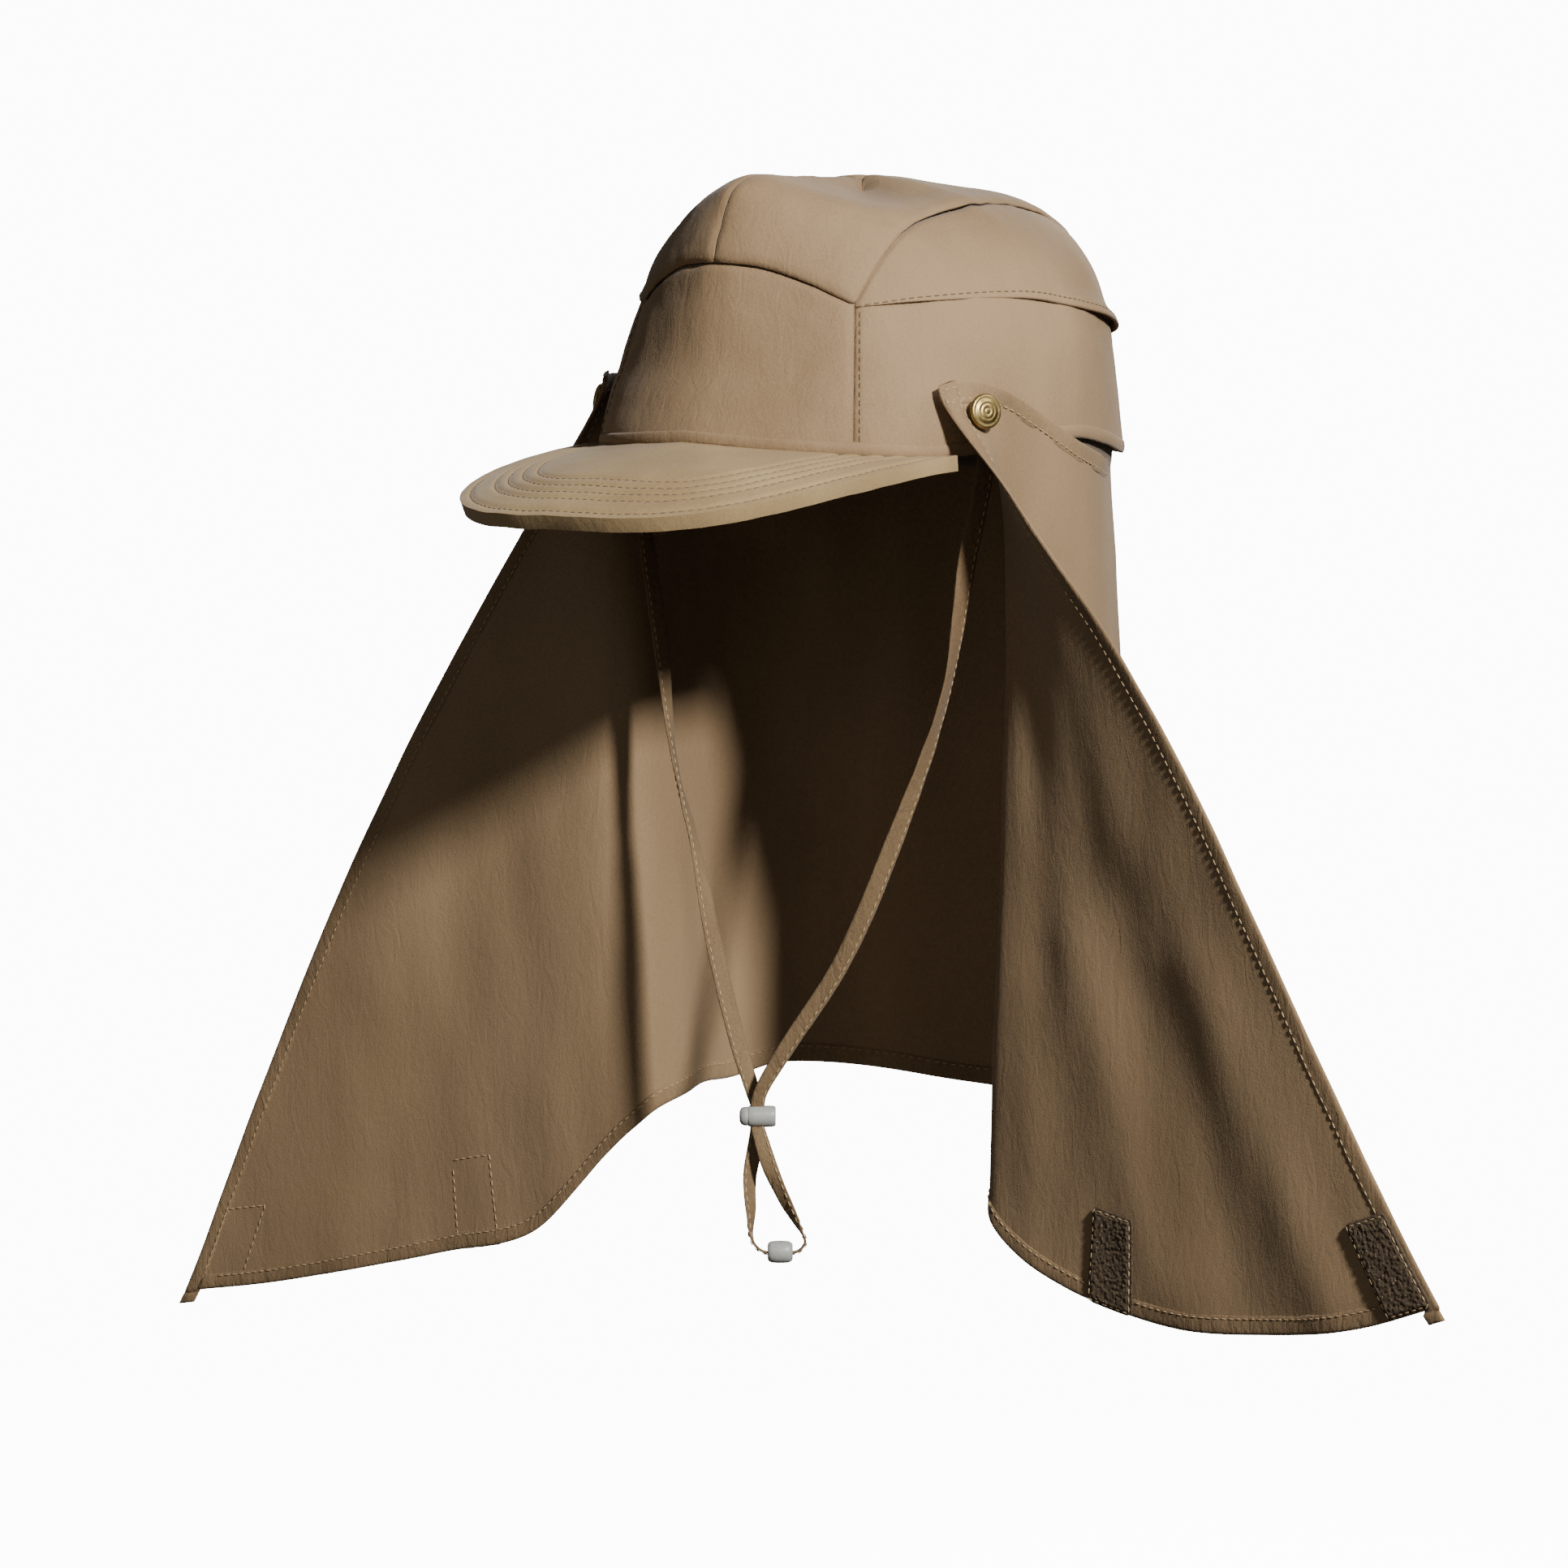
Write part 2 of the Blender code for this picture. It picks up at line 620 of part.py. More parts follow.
def snap_frame(side):
    """Where a snap sits on the crown's outer face, and its matrix with local Z pointing out of the crown."""
    place = crown_at(SNAP_TURN, SNAP_RISE)
    round_head = crown_at(SNAP_TURN + 1, SNAP_RISE) - crown_at(SNAP_TURN - 1, SNAP_RISE)
    upward = crown_at(SNAP_TURN, SNAP_RISE + CROWN_WALL) - crown_at(SNAP_TURN, SNAP_RISE - CROWN_WALL)
    normal = round_head.cross(upward).normalized()
    place.x *= side
    normal.x *= side
    return place, normal


def flap_reach_at_snap(side):
    """How far out of the crown's face the flap's outer side comes under the snap's cap."""
    place, normal = snap_frame(side)
    reach = 0.0
    for u in np.linspace(0.0, 0.25, 60):
        for v in np.linspace(0.0, 0.10, 20):
            for face in (-FLAP_HEM_CLOTH / 2, FLAP_HEM_CLOTH / 2):
                away = flap_at(u if side > 0 else 1 - u, v, face) - place
                out = away.dot(normal)
                if (away - normal * out).length < SNAP_DIAMETER / 2 + CLEARANCE:
                    reach = max(reach, out)
    return reach + CLEARANCE


def add_turned(name, profile, place, axis, sides, look, collection):
    """A turned solid: profile rows are radius and height along the axis, from the outer side in."""
    mesh = bpy.data.meshes.new(name)
    verts = [(radius, 0.0, height) for radius, height in profile]
    mesh.from_pydata(verts, [(row, row + 1) for row in range(len(verts) - 1)], [])
    made = bpy.data.objects.new(name, mesh)
    made.matrix_world = Matrix.Translation(place) @ axis.to_track_quat("Z", "Y").to_matrix().to_4x4()
    mesh.materials.append(look)
    turned = made.modifiers.new("Turned", "SCREW")
    turned.axis = "Z"
    turned.steps = sides
    turned.render_steps = sides
    turned.use_merge_vertices = True
    turned.merge_threshold = 0.00001
    collection.objects.link(made)
    return made


def make_snaps(collection, cutters, look, panels, flap_pieces):
    """A domed cap outside the flap on each side, with a post through the flap and the crown to a flat stud."""
    radius = SNAP_DIAMETER / 2
    post = SNAP_POST / 2
    for side, label in ((1, "left"), (-1, "right")):
        place, normal = snap_frame(side)
        base = flap_reach_at_snap(side)
        inner = -(CROWN_WALL + 2 * CLEARANCE)
        profile = (
            (0.0, base + SNAP_DOME),
            (radius * 0.45, base + SNAP_DOME * 0.92),
            (radius * 0.80, base + SNAP_DOME * 0.66),
            (radius, base + SNAP_DOME * 0.28),
            (radius, base),
            (post, base),
            (post, inner),
            (STUD_DIAMETER / 2, inner),
            (STUD_DIAMETER / 2, inner - STUD_HEIGHT),
            (0.0, inner - STUD_HEIGHT),
        )
        add_turned(f"snap_{label}", profile, place, normal, 20, look, collection)

        def fill(shape):
            bmesh.ops.create_cone(
                shape, cap_ends=True, segments=16, radius1=post + CLEARANCE, radius2=post + CLEARANCE,
                depth=4 * (base + CROWN_WALL))

        cutter = add_object(f"snap_hole_{label}", fill, look, cutters)
        cutter.matrix_world = Matrix.Translation(place) @ normal.to_track_quat("Z", "Y").to_matrix().to_4x4()
        cut(panels[label], cutter)
        cut(flap_pieces["cloth"], cutter)


def strap_frame(share, keys, rows):
    """Centre, across direction and width of the strap at a share of its length."""
    row = smooth(keys, rows, share)
    step = 0.004
    ahead = smooth(keys, rows, min(share + step, 1.0))[:3]
    behind = smooth(keys, rows, max(share - step, 0.0))[:3]
    along = Vector(ahead - behind).normalized()
    turned = math.radians(row[3])
    across = Vector((math.cos(turned), math.sin(turned), 0.0))
    across = (across - along * across.dot(along)).normalized()
    return Vector(row[:3]), across, row[4] * STRAP_WIDTH


def make_strap(collection, cutters, cloth, plastic):
    """One flat ribbon, both legs stacked in the lock's slot and the loop run through the bead."""
    rows = np.array(STRAP_ROUTE, dtype=float)
    spans = np.linalg.norm(np.diff(rows[:, :3], axis=0), axis=1)
    keys = np.concatenate([[0.0], np.cumsum(spans)]) / spans.sum()

    def place(u, v):
        centre, across, width = strap_frame(v, keys, rows)
        return centre + across * width * (u - 0.5)

    add_sheet("chin_strap", place, 1, STRAP_STEPS, STRAP_THICKNESS, 0, cloth, collection)

    axis = Vector((math.cos(math.radians(LOCK_TURNED)), math.sin(math.radians(LOCK_TURNED)), 0.0))
    slot_gap = 4 * CLEARANCE
    sizes = (
        # name, place, length, diameter, rounding, slot across its axis, through it and along it
        ("cord_lock", LOCK_PLACE, LOCK_LENGTH, LOCK_DIAMETER, 0.0010,
         (STRAP_LOCK_WIDTH + slot_gap, STRAP_SPACING + STRAP_THICKNESS + slot_gap, 2 * LOCK_DIAMETER)),
        ("strap_bead", BEAD_PLACE, BEAD_LENGTH, BEAD_DIAMETER, 0.0018,
         (2 * BEAD_LENGTH, STRAP_BEAD_WIDTH + slot_gap, STRAP_THICKNESS + 1.5 * slot_gap)),
    )
    for name, place_of, length, diameter, rounding, slot in sizes:
        def fill(shape):
            bmesh.ops.create_cone(
                shape, cap_ends=True, segments=20, radius1=diameter / 2, radius2=diameter / 2, depth=length)

        def fill_slot(shape):
            bmesh.ops.create_cube(shape, size=1.0, matrix=Matrix.Diagonal((*slot, 1.0)))

        body = add_object(name, fill, plastic, collection)
        body.matrix_world = Matrix.Translation(place_of) @ axis.to_track_quat("Z", "Y").to_matrix().to_4x4()
        soft = body.modifiers.new("Rounded ends", "BEVEL")
        soft.width = rounding
        soft.segments = 2
        soft.limit_method = "ANGLE"
        soft.angle_limit = math.radians(50)
        cutter = add_object(f"{name}_slot", fill_slot, plastic, cutters)
        cutter.matrix_world = Matrix.Translation(place_of) @ Matrix.Rotation(math.radians(LOCK_TURNED), 4, "Z")
        cut(body, cutter)


def main():
    for old in list(bpy.data.objects):
        bpy.data.objects.remove(old, do_unlink=True)
    collection = bpy.data.collections.new("legionnaire_cap")
    cutters = bpy.data.collections.new("cutters")
    bpy.context.scene.collection.children.link(collection)
    bpy.context.scene.collection.children.link(cutters)

    cloth = material("Khaki nylon", CLOTH_COLOUR)
    ribbon = material("Strap nylon", STRAP_COLOUR)
    patch = material("Hook and loop", PATCH_COLOUR, roughness=0.95)
    brass = material("Antique brass", BRASS_COLOUR, roughness=0.35, metallic=1.0)
    plastic = material("Grey plastic", PLASTIC_COLOUR, roughness=0.45)

    panels = make_crown(collection, cloth)
    make_peak(collection, cloth)
    flap_pieces = make_flap(collection, cloth)
    make_patches(collection, patch)
    make_snaps(collection, cutters, brass, panels, flap_pieces)
    make_strap(collection, cutters, ribbon, plastic)
    for cutter in cutters.objects:
        cutter.hide_render = True
        cutter.display_type = "WIRE"


main()
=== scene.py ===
# %% [markdown]
# # A legionnaire cap
#
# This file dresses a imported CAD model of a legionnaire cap: a nylon cap with a stiff peak, a neck flap that
# is swung open and held up by a snap on each side, and a chin strap with a cord lock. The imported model
# stays as the fixed frame. Each soft CAD solid is stood in for by a detailed piece in the same place.
#
# Everything is in metres with +Z up. The front is -Y and the wearer's left is +X. A turn is an angle round
# the head in degrees: 0 at the front, 90 at the left ear, 180 at the back, negative on the wearer's right.

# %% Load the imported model
import math

import bmesh
import bpy
import numpy as np
from mathutils import Matrix, Vector, noise


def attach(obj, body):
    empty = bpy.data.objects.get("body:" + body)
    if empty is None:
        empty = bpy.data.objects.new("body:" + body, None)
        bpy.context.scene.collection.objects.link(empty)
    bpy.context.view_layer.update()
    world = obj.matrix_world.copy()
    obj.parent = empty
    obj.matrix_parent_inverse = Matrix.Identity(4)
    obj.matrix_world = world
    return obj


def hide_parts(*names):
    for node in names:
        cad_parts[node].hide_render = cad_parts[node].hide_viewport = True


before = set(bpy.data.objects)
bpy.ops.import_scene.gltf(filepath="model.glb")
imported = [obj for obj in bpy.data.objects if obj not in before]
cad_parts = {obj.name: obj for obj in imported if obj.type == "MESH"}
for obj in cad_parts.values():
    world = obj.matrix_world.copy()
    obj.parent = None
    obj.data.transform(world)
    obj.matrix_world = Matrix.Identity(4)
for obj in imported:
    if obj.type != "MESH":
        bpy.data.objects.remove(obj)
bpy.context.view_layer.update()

# %% [markdown]
# ## Camera, light and floor
#
# The photograph was taken with a long lens, from the front left of the cap and a little above it. A long
# lens flattens depth, so the camera stands three metres away. One fairly small softbox on the camera's
# right gives the firm shadow of the peak on the far wing, and a weak sky keeps the folds readable. The
# floor is a wide pale dish far below, so that it rises behind the cap from any side.

# %% Camera
EYE = Vector((1.82528, -2.38103, 0.131))
TARGET = Vector((-0.0217, -0.0170, -0.122))
SENSOR_MM = 36.0
PICTURE_PX = 1932
FOCAL_PX = 10350


def aimed(obj, place, target):
    """Put a camera or lamp at a place and turn it to a target."""
    obj.location = place
    obj.rotation_euler = (target - place).to_track_quat("-Z", "Y").to_euler()
    bpy.context.scene.collection.objects.link(obj)
    return obj


camera_data = bpy.data.cameras.new("camera")
camera_data.sensor_width = SENSOR_MM
camera_data.lens = FOCAL_PX / PICTURE_PX * SENSOR_MM
camera_data.clip_end = 60.0
camera = aimed(bpy.data.objects.new("camera", camera_data), EYE, TARGET)
bpy.context.scene.camera = camera
print("Lens:", round(camera_data.lens, 1), "mm")

# %% Lights
LAMPS = (
    # name, turn from the front, degrees up, distance in metres, size in metres, watts
    ("key_softbox", 67.0, 29.0, 3.2, 0.30, 185.0),
    ("front_fill", 25.0, 5.0, 3.5, 2.40, 7.0),
    ("side_rim", 118.0, 40.0, 3.2, 1.20, 30.0),
    ("back_soft", 205.0, 16.0, 3.4, 2.00, 55.0),
)
SKY_STRENGTH = 0.10

for lamp_name, turn, up, distance, size, watts in LAMPS:
    lamp = bpy.data.lights.new(lamp_name, "AREA")
    lamp.shape = "DISK"
    lamp.size = size
    lamp.energy = watts
    swing, rise = math.radians(turn), math.radians(up)
    away = Vector((math.sin(swing) * math.cos(rise), -math.cos(swing) * math.cos(rise), math.sin(rise)))
    aimed(bpy.data.objects.new(lamp_name, lamp), TARGET + away * distance, TARGET)

world = bpy.data.worlds.new("studio_sky")
bpy.context.scene.world = world
world.use_nodes = True
sky = world.node_tree.nodes["Background"]
sky.inputs["Color"].default_value = (1.0, 0.98, 0.95, 1.0)
sky.inputs["Strength"].default_value = SKY_STRENGTH
print("Lamps:", len(LAMPS))


# %% [markdown]
# ## Helpers for materials
#
# Colours are picked as sRGB hex codes, as a colour picker shows them, and one function turns them into the
# linear numbers that a shader works with. One small function adds a node, sets it and links it.

# %% Colour and node helpers
def from_hex(code):
    """Turn an sRGB hex colour into a linear one."""
    parts = [int(code[start:start + 2], 16) / 255 for start in (1, 3, 5)]
    return (*[part / 12.92 if part <= 0.04045 else ((part + 0.055) / 1.055) ** 2.4 for part in parts], 1.0)


def add_node(tree, kind, settings=None, links=None):
    """Add a node. Settings are its properties or its sockets, and links say what feeds its sockets."""
    node = tree.nodes.new(kind)
    for key, value in (settings or {}).items():
        if isinstance(key, str) and key.islower():
            setattr(node, key, value)
        else:
            node.inputs[key].default_value = value
    for key, source in (links or {}).items():
        tree.links.new(source, node.inputs[key])
    return node


def per_metre(size_mm):
    """A noise texture's scale for features of this size, on coordinates in metres."""
    return 1000.0 / size_mm


def new_finish(name, settings):
    """A material with its shader's constant numbers set on the shader itself."""
    made = bpy.data.materials.new(name)
    made.use_nodes = True
    shader = made.node_tree.nodes["Principled BSDF"]
    for key, value in settings.items():
        shader.inputs[key].default_value = value
    return made, made.node_tree, shader


# %% Floor
FLOOR_LEVEL = -0.95
DISH_PROFILE = ((0.0, 0.0), (4.0, 0.0), (6.0, 0.4), (7.5, 1.6), (8.0, 3.5), (8.0, 7.0))

dish = bmesh.new()
rim = [dish.verts.new((radius, 0.0, FLOOR_LEVEL + height)) for radius, height in DISH_PROFILE]
spine = [dish.edges.new(pair) for pair in zip(rim, rim[1:])]
bmesh.ops.spin(
    dish, geom=rim + spine, axis=(0, 0, 1), cent=(0, 0, 0), angle=math.tau, steps=48, use_merge=True)
bmesh.ops.remove_doubles(dish, verts=dish.verts, dist=1e-5)
bmesh.ops.recalc_face_normals(dish, faces=dish.faces)
bmesh.ops.reverse_faces(dish, faces=dish.faces)
dish_mesh = bpy.data.meshes.new("studio_floor")
dish.to_mesh(dish_mesh)
dish.free()
dish_mesh.shade_smooth()
floor = bpy.data.objects.new("studio_floor", dish_mesh)
bpy.context.scene.collection.objects.link(floor)
paper, _, paper_shader = new_finish("Pale studio paper", {"Roughness": 0.9, "Emission Strength": 12.0})
paper_shader.inputs["Base Color"].default_value = from_hex("#F4F3F0")
paper_shader.inputs["Emission Color"].default_value = from_hex("#FFFFFF")
dish_mesh.materials.append(paper)
floor.visible_diffuse = False
floor.visible_glossy = False
floor.visible_shadow = False
print("Floor at", FLOOR_LEVEL, "m")


# %% [markdown]
# ## The cap's cloth
#
# The real cloth is a light nylon taslan: a plain weave of textured yarn that is matte, a little crinkled and
# khaki brown. Its yarns are about 0.2 mm apart, too fine for this picture, so the grain is drawn at 0.7 mm.
# A coarser noise, drawn out along the warp, gives the faint crinkles, and a broad one the uneven dye.
# Both bend the surface normal, because on matte cloth the eye reads texture from its tiny shadows.

# %% Nylon cloth
GRAIN_MM = 0.75
CRINKLE_MM = 5.0
CLOUD_MM = 48.0


def nylon_cloth(name, pale, deep, crinkle_height, warp=(1.0, 1.0, 0.35), coordinates="Object"):
    """Matte crinkled nylon between two colours, with crinkles this high in metres."""
    made, tree, shader = new_finish(name, {
        "Roughness": 0.78,
        "IOR": 1.53,
        "Specular IOR Level": 0.28,
        "Sheen Weight": 0.10,
        "Sheen Roughness": 0.45,
    })
    place = add_node(tree, "ShaderNodeTexCoord").outputs[coordinates]
    drawn = add_node(tree, "ShaderNodeMapping", {"Scale": warp}, {"Vector": place})
    grain = add_node(
        tree, "ShaderNodeTexNoise", {"Scale": per_metre(GRAIN_MM), "Detail": 3.0, "Roughness": 0.7},
        {"Vector": place})
    crinkle = add_node(
        tree, "ShaderNodeTexNoise",
        {"Scale": per_metre(CRINKLE_MM), "Detail": 4.0, "Roughness": 0.62, "Distortion": 1.2},
        {"Vector": drawn.outputs["Vector"]})
    cloud = add_node(
        tree, "ShaderNodeTexNoise", {"Scale": per_metre(CLOUD_MM), "Detail": 2.0},
        {"Vector": drawn.outputs["Vector"]})
    uneven = add_node(
        tree, "ShaderNodeMath", {"operation": "MULTIPLY_ADD", 1: 0.55},
        {0: grain.outputs["Fac"], 2: cloud.outputs["Fac"]})
    share = add_node(
        tree, "ShaderNodeMapRange", {"From Min": 0.58, "From Max": 0.98}, {"Value": uneven.outputs["Value"]})
    colour = add_node(
        tree, "ShaderNodeMix", {"data_type": "RGBA", 6: from_hex(deep), 7: from_hex(pale)},
        {0: share.outputs["Result"]})
    folds = add_node(
        tree, "ShaderNodeBump", {"Strength": 0.8, "Distance": crinkle_height},
        {"Height": crinkle.outputs["Fac"]})
    yarns = add_node(
        tree, "ShaderNodeBump", {"Strength": 0.55, "Distance": 0.00022},
        {"Height": grain.outputs["Fac"], "Normal": folds.outputs["Normal"]})
    tree.links.new(colour.outputs[2], shader.inputs["Base Color"])
    tree.links.new(yarns.outputs["Normal"], shader.inputs["Normal"])
    return made


crown_nylon = nylon_cloth("Crinkled nylon taslan, crown", "#93795A", "#7C6447", 0.0005)
flap_nylon = nylon_cloth("Crinkled nylon taslan, flap", "#8F7657", "#7C6447", 0.00038)
binding_nylon = nylon_cloth("Folded nylon taslan, edges", "#8B7252", "#6C563C", 0.0010)
# Painted light: the peak's copy of the same cloth is paler than the crown's, for the key light on its top.
peak_nylon_painted_lit = nylon_cloth("Stretched nylon taslan, peak, lightened as painted light", "#A1885F", "#8C734F", 0.0004)
strap_nylon = nylon_cloth("Folded nylon ribbon, strap", "#806A4C", "#60492F", 0.0012)
band_nylon = nylon_cloth("Brushed nylon, sweatband", "#6F614F", "#584B3B", 0.0006)
print("Nylon finishes:", 6)

# %% [markdown]
# ## Thread, hook and loop tape, brass and plastic
#
# Sewing thread is spun polyester, a shade lighter than the cloth, with a faint twist. On the crown and the
# peak it is drawn dark instead, as painted shade of its needle holes and seam grooves. Loop tape is a pile
# of fine nylon loops: its dark ground is its own tone with painted shade between the loops, and its bright
# specks are painted glints where a loop catches the light. The snap caps are antique brass, dark in the
# hollows and worn bright on the crests. The lock and bead are moulded acetal, satin and light grey with a
# faint mottle.

# %% Small finishes
def spun_thread(name, deep, pale):
    """Sewing thread between two tones of its twist."""
    made, tree, shader = new_finish(name, {"Roughness": 0.6})
    twist = add_node(
        tree, "ShaderNodeTexNoise", {"Scale": per_metre(0.9), "Detail": 1.0},
        {"Vector": add_node(tree, "ShaderNodeTexCoord").outputs["Object"]})
    tone = add_node(
        tree, "ShaderNodeMix", {"data_type": "RGBA", 6: from_hex(deep), 7: from_hex(pale)},
        {0: twist.outputs["Fac"]})
    tree.links.new(tone.outputs[2], shader.inputs["Base Color"])
    return made


pale_thread = spun_thread("Spun polyester thread, flap", "#8E7653", "#B99F77")
# Painted shade: the crown and peak thread is drawn dark for the shade in its needle holes and seam grooves.
seam_shade_thread = spun_thread("Dark thread as painted seam shade, crown", "#4E3B24", "#77603F")


def tape_pile(name, deep, middle, glint_colour, glint_share):
    """Hook and loop tape: a dark ground with painted shade between loops, a middle tone, and painted glints
    on this share.
    """
    made, tree, shader = new_finish(name, {"Roughness": 0.9})
    place = add_node(tree, "ShaderNodeTexCoord").outputs["Object"]
    loops = add_node(tree, "ShaderNodeTexVoronoi", {"Scale": per_metre(0.9)}, {"Vector": place})
    tufts = add_node(
        tree, "ShaderNodeTexNoise", {"Scale": per_metre(1.6), "Detail": 4.0, "Roughness": 0.8},
        {"Vector": place})
    # The dark ground is the tape's own tone together with painted shade between the loops.
    ground = add_node(
        tree, "ShaderNodeMix", {"data_type": "RGBA", 6: from_hex(deep), 7: from_hex(middle)},
        {0: tufts.outputs["Fac"]})
    # Painted glints: bright specks where the top of a loop would catch the light.
    glint_spots = add_node(
        tree, "ShaderNodeMapRange", {"From Min": 0.18, "From Max": 0.08},
        {"Value": loops.outputs["Distance"]})
    chosen = add_node(
        tree, "ShaderNodeMapRange", {"From Min": 1.0 - glint_share, "From Max": 1.05 - glint_share},
        {"Value": loops.outputs["Color"]})
    both = add_node(
        tree, "ShaderNodeMath", {"operation": "MULTIPLY"},
        {0: glint_spots.outputs["Result"], 1: chosen.outputs["Result"]})
    colour = add_node(
        tree, "ShaderNodeMix", {"data_type": "RGBA", 7: from_hex(glint_colour)},
        {0: both.outputs["Value"], 6: ground.outputs[2]})
    rough = add_node(
        tree, "ShaderNodeBump", {"Strength": 1.0, "Distance": 0.0012}, {"Height": tufts.outputs["Fac"]})
    tree.links.new(colour.outputs[2], shader.inputs["Base Color"])
    tree.links.new(rough.outputs["Normal"], shader.inputs["Normal"])
    return made


loop_tape = tape_pile("Nylon loop tape", "#2A2016", "#6B583F", "#DCCCAF", 0.55)
hook_tape = tape_pile("Nylon hook tape", "#4A3E30", "#75654F", "#A39478", 0.25)

brass, brass_tree, brass_shader = new_finish(
    "Antique brass", {"Metallic": 1.0, "Roughness": 0.34})
wear = add_node(
    brass_tree, "ShaderNodeTexNoise", {"Scale": per_metre(2.2), "Detail": 4.0, "Roughness": 0.7},
    {"Vector": add_node(brass_tree, "ShaderNodeTexCoord").outputs["Object"]})
brass_colour = add_node(
    brass_tree, "ShaderNodeMix",
    {"data_type": "RGBA", 6: from_hex("#6E5524"), 7: from_hex("#CDB478")}, {0: wear.outputs["Fac"]})
brass_tree.links.new(brass_colour.outputs[2], brass_shader.inputs["Base Color"])
brass_rough = add_node(
    brass_tree, "ShaderNodeMapRange", {"To Min": 0.25, "To Max": 0.5}, {"Value": wear.outputs["Fac"]})
brass_tree.links.new(brass_rough.outputs["Result"], brass_shader.inputs["Roughness"])

acetal, acetal_tree, acetal_shader = new_finish(
    "Moulded grey acetal", {"Roughness": 0.42, "IOR": 1.48, "Specular IOR Level": 0.45})
mottle = add_node(
    acetal_tree, "ShaderNodeTexNoise", {"Scale": per_metre(1.4), "Detail": 3.0},
    {"Vector": add_node(acetal_tree, "ShaderNodeTexCoord").outputs["Object"]})
acetal_colour = add_node(
    acetal_tree, "ShaderNodeMix",
    {"data_type": "RGBA", 6: from_hex("#8E8E87"), 7: from_hex("#ACACA5")}, {0: mottle.outputs["Fac"]})
acetal_bump = add_node(
    acetal_tree, "ShaderNodeBump", {"Strength": 0.3, "Distance": 0.0001}, {"Height": mottle.outputs["Fac"]})
acetal_tree.links.new(acetal_colour.outputs[2], acetal_shader.inputs["Base Color"])
acetal_tree.links.new(acetal_bump.outputs["Normal"], acetal_shader.inputs["Normal"])
print("Materials:", len(bpy.data.materials))


# %% [markdown]
# ## Ways to lay cloth
#
# Nearly every piece here is cloth that follows a curved surface. A grid from bmesh is moved onto the
# surface by a place function, which takes arrays of shares from 0 to 1 and gives points. A folded edge is
# the same grid rolled up: its first and last columns meet, their doubles are merged and its ends filled.

# %% Cloth helpers
def lay_grid(place, across, along, size=(1.0, 1.0)):
    """Move a grid onto a surface."""
    shape = bmesh.new()
    bmesh.ops.create_grid(shape, x_segments=across, y_segments=along, size=0.5)
    flat = np.array([vert.co[:2] for vert in shape.verts]) + 0.5
    points = place(flat[:, 0], flat[:, 1])
    layer = shape.loops.layers.uv.new("Cloth")
    shape.verts.index_update()
    for face in shape.faces:
        for loop in face.loops:
            u, v = flat[loop.vert.index]
            loop[layer].uv = (u * size[0], v * size[1])
    for vert, point in zip(shape.verts, points):
        vert.co = point
    return shape


def lay_strip(place, around, along, size=(1.0, 1.0)):
    """A closed flat tube: place takes shares round it and along it."""
    shape = lay_grid(place, around, along, size)
    bmesh.ops.remove_doubles(shape, verts=shape.verts, dist=1e-6)
    bmesh.ops.holes_fill(shape, edges=[edge for edge in shape.edges if edge.is_boundary])
    bmesh.ops.recalc_face_normals(shape, faces=shape.faces)
    return shape


def new_piece(name, shape, finish, slot, *nodes):
    """Make an object of a bmesh, riding on the cap, that stands for these CAD nodes."""
    mesh = bpy.data.meshes.new(name)
    shape.to_mesh(mesh)
    shape.free()
    mesh.shade_smooth()
    mesh.materials.append(finish)
    piece = bpy.data.objects.new(name, mesh)
    bpy.context.scene.collection.objects.link(piece)
    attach(piece, "root")
    if nodes:
        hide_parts(*nodes)
    return piece


def add_wall(piece, thickness, offset):
    """Give a surface its thickness: offset 1 grows outwards, -1 inwards and 0 both ways."""
    wall = piece.modifiers.new("Wall", "SOLIDIFY")
    wall.thickness = thickness
    wall.offset = offset
    return piece


def unit(vectors):
    return vectors / np.linalg.norm(vectors, axis=-1, keepdims=True)


def soft_noise(points, size, stretch=(1.0, 1.0, 1.0), seed=0.0):
    """Smooth noise from -1 to 1 at each point, with lumps of this size in metres."""
    spots = np.asarray(points) / (np.array(stretch) * size) + seed
    return np.array([noise.noise(spot) for spot in spots])


def smooth(keys, rows, at):
    """Read a table of rows at many keys, along a smooth curve through them."""
    keys = np.asarray(keys, dtype=float)
    rows = np.asarray(rows, dtype=float)
    at = np.asarray(at, dtype=float)
    wide = (...,) + (None,) * (rows.ndim - 1)
    steps = np.diff(keys)
    slopes = np.diff(rows, axis=0) / steps[wide]
    tangents = np.concatenate([slopes[:1], (slopes[1:] + slopes[:-1]) / 2, slopes[-1:]])
    row = np.clip(np.searchsorted(keys, at) - 1, 0, len(steps) - 1)
    step = steps[row][wide]
    part = np.clip((at - keys[row]) / steps[row], 0.0, 1.0)[wide]
    start = (1 + 2 * part) * (1 - part) ** 2 * rows[row] + part * (1 - part) ** 2 * step * tangents[row]
    end = part**2 * (3 - 2 * part) * rows[row + 1] + part**2 * (part - 1) * step * tangents[row + 1]
    return start + end


def table_at(table, at):
    table = np.asarray(table, dtype=float)
    return smooth(table[:, 0], table[:, 1], at)


# %% [markdown]
# ## The crown's shape
#
# A head stretches the crown, so its outer face is one rounded form. It is held here as three profiles, for
# the front, the side and the back, each seen from a centre inside the crown. Any direction from there
# blends the side profile with the front or back one, which gives the distance to the cloth.

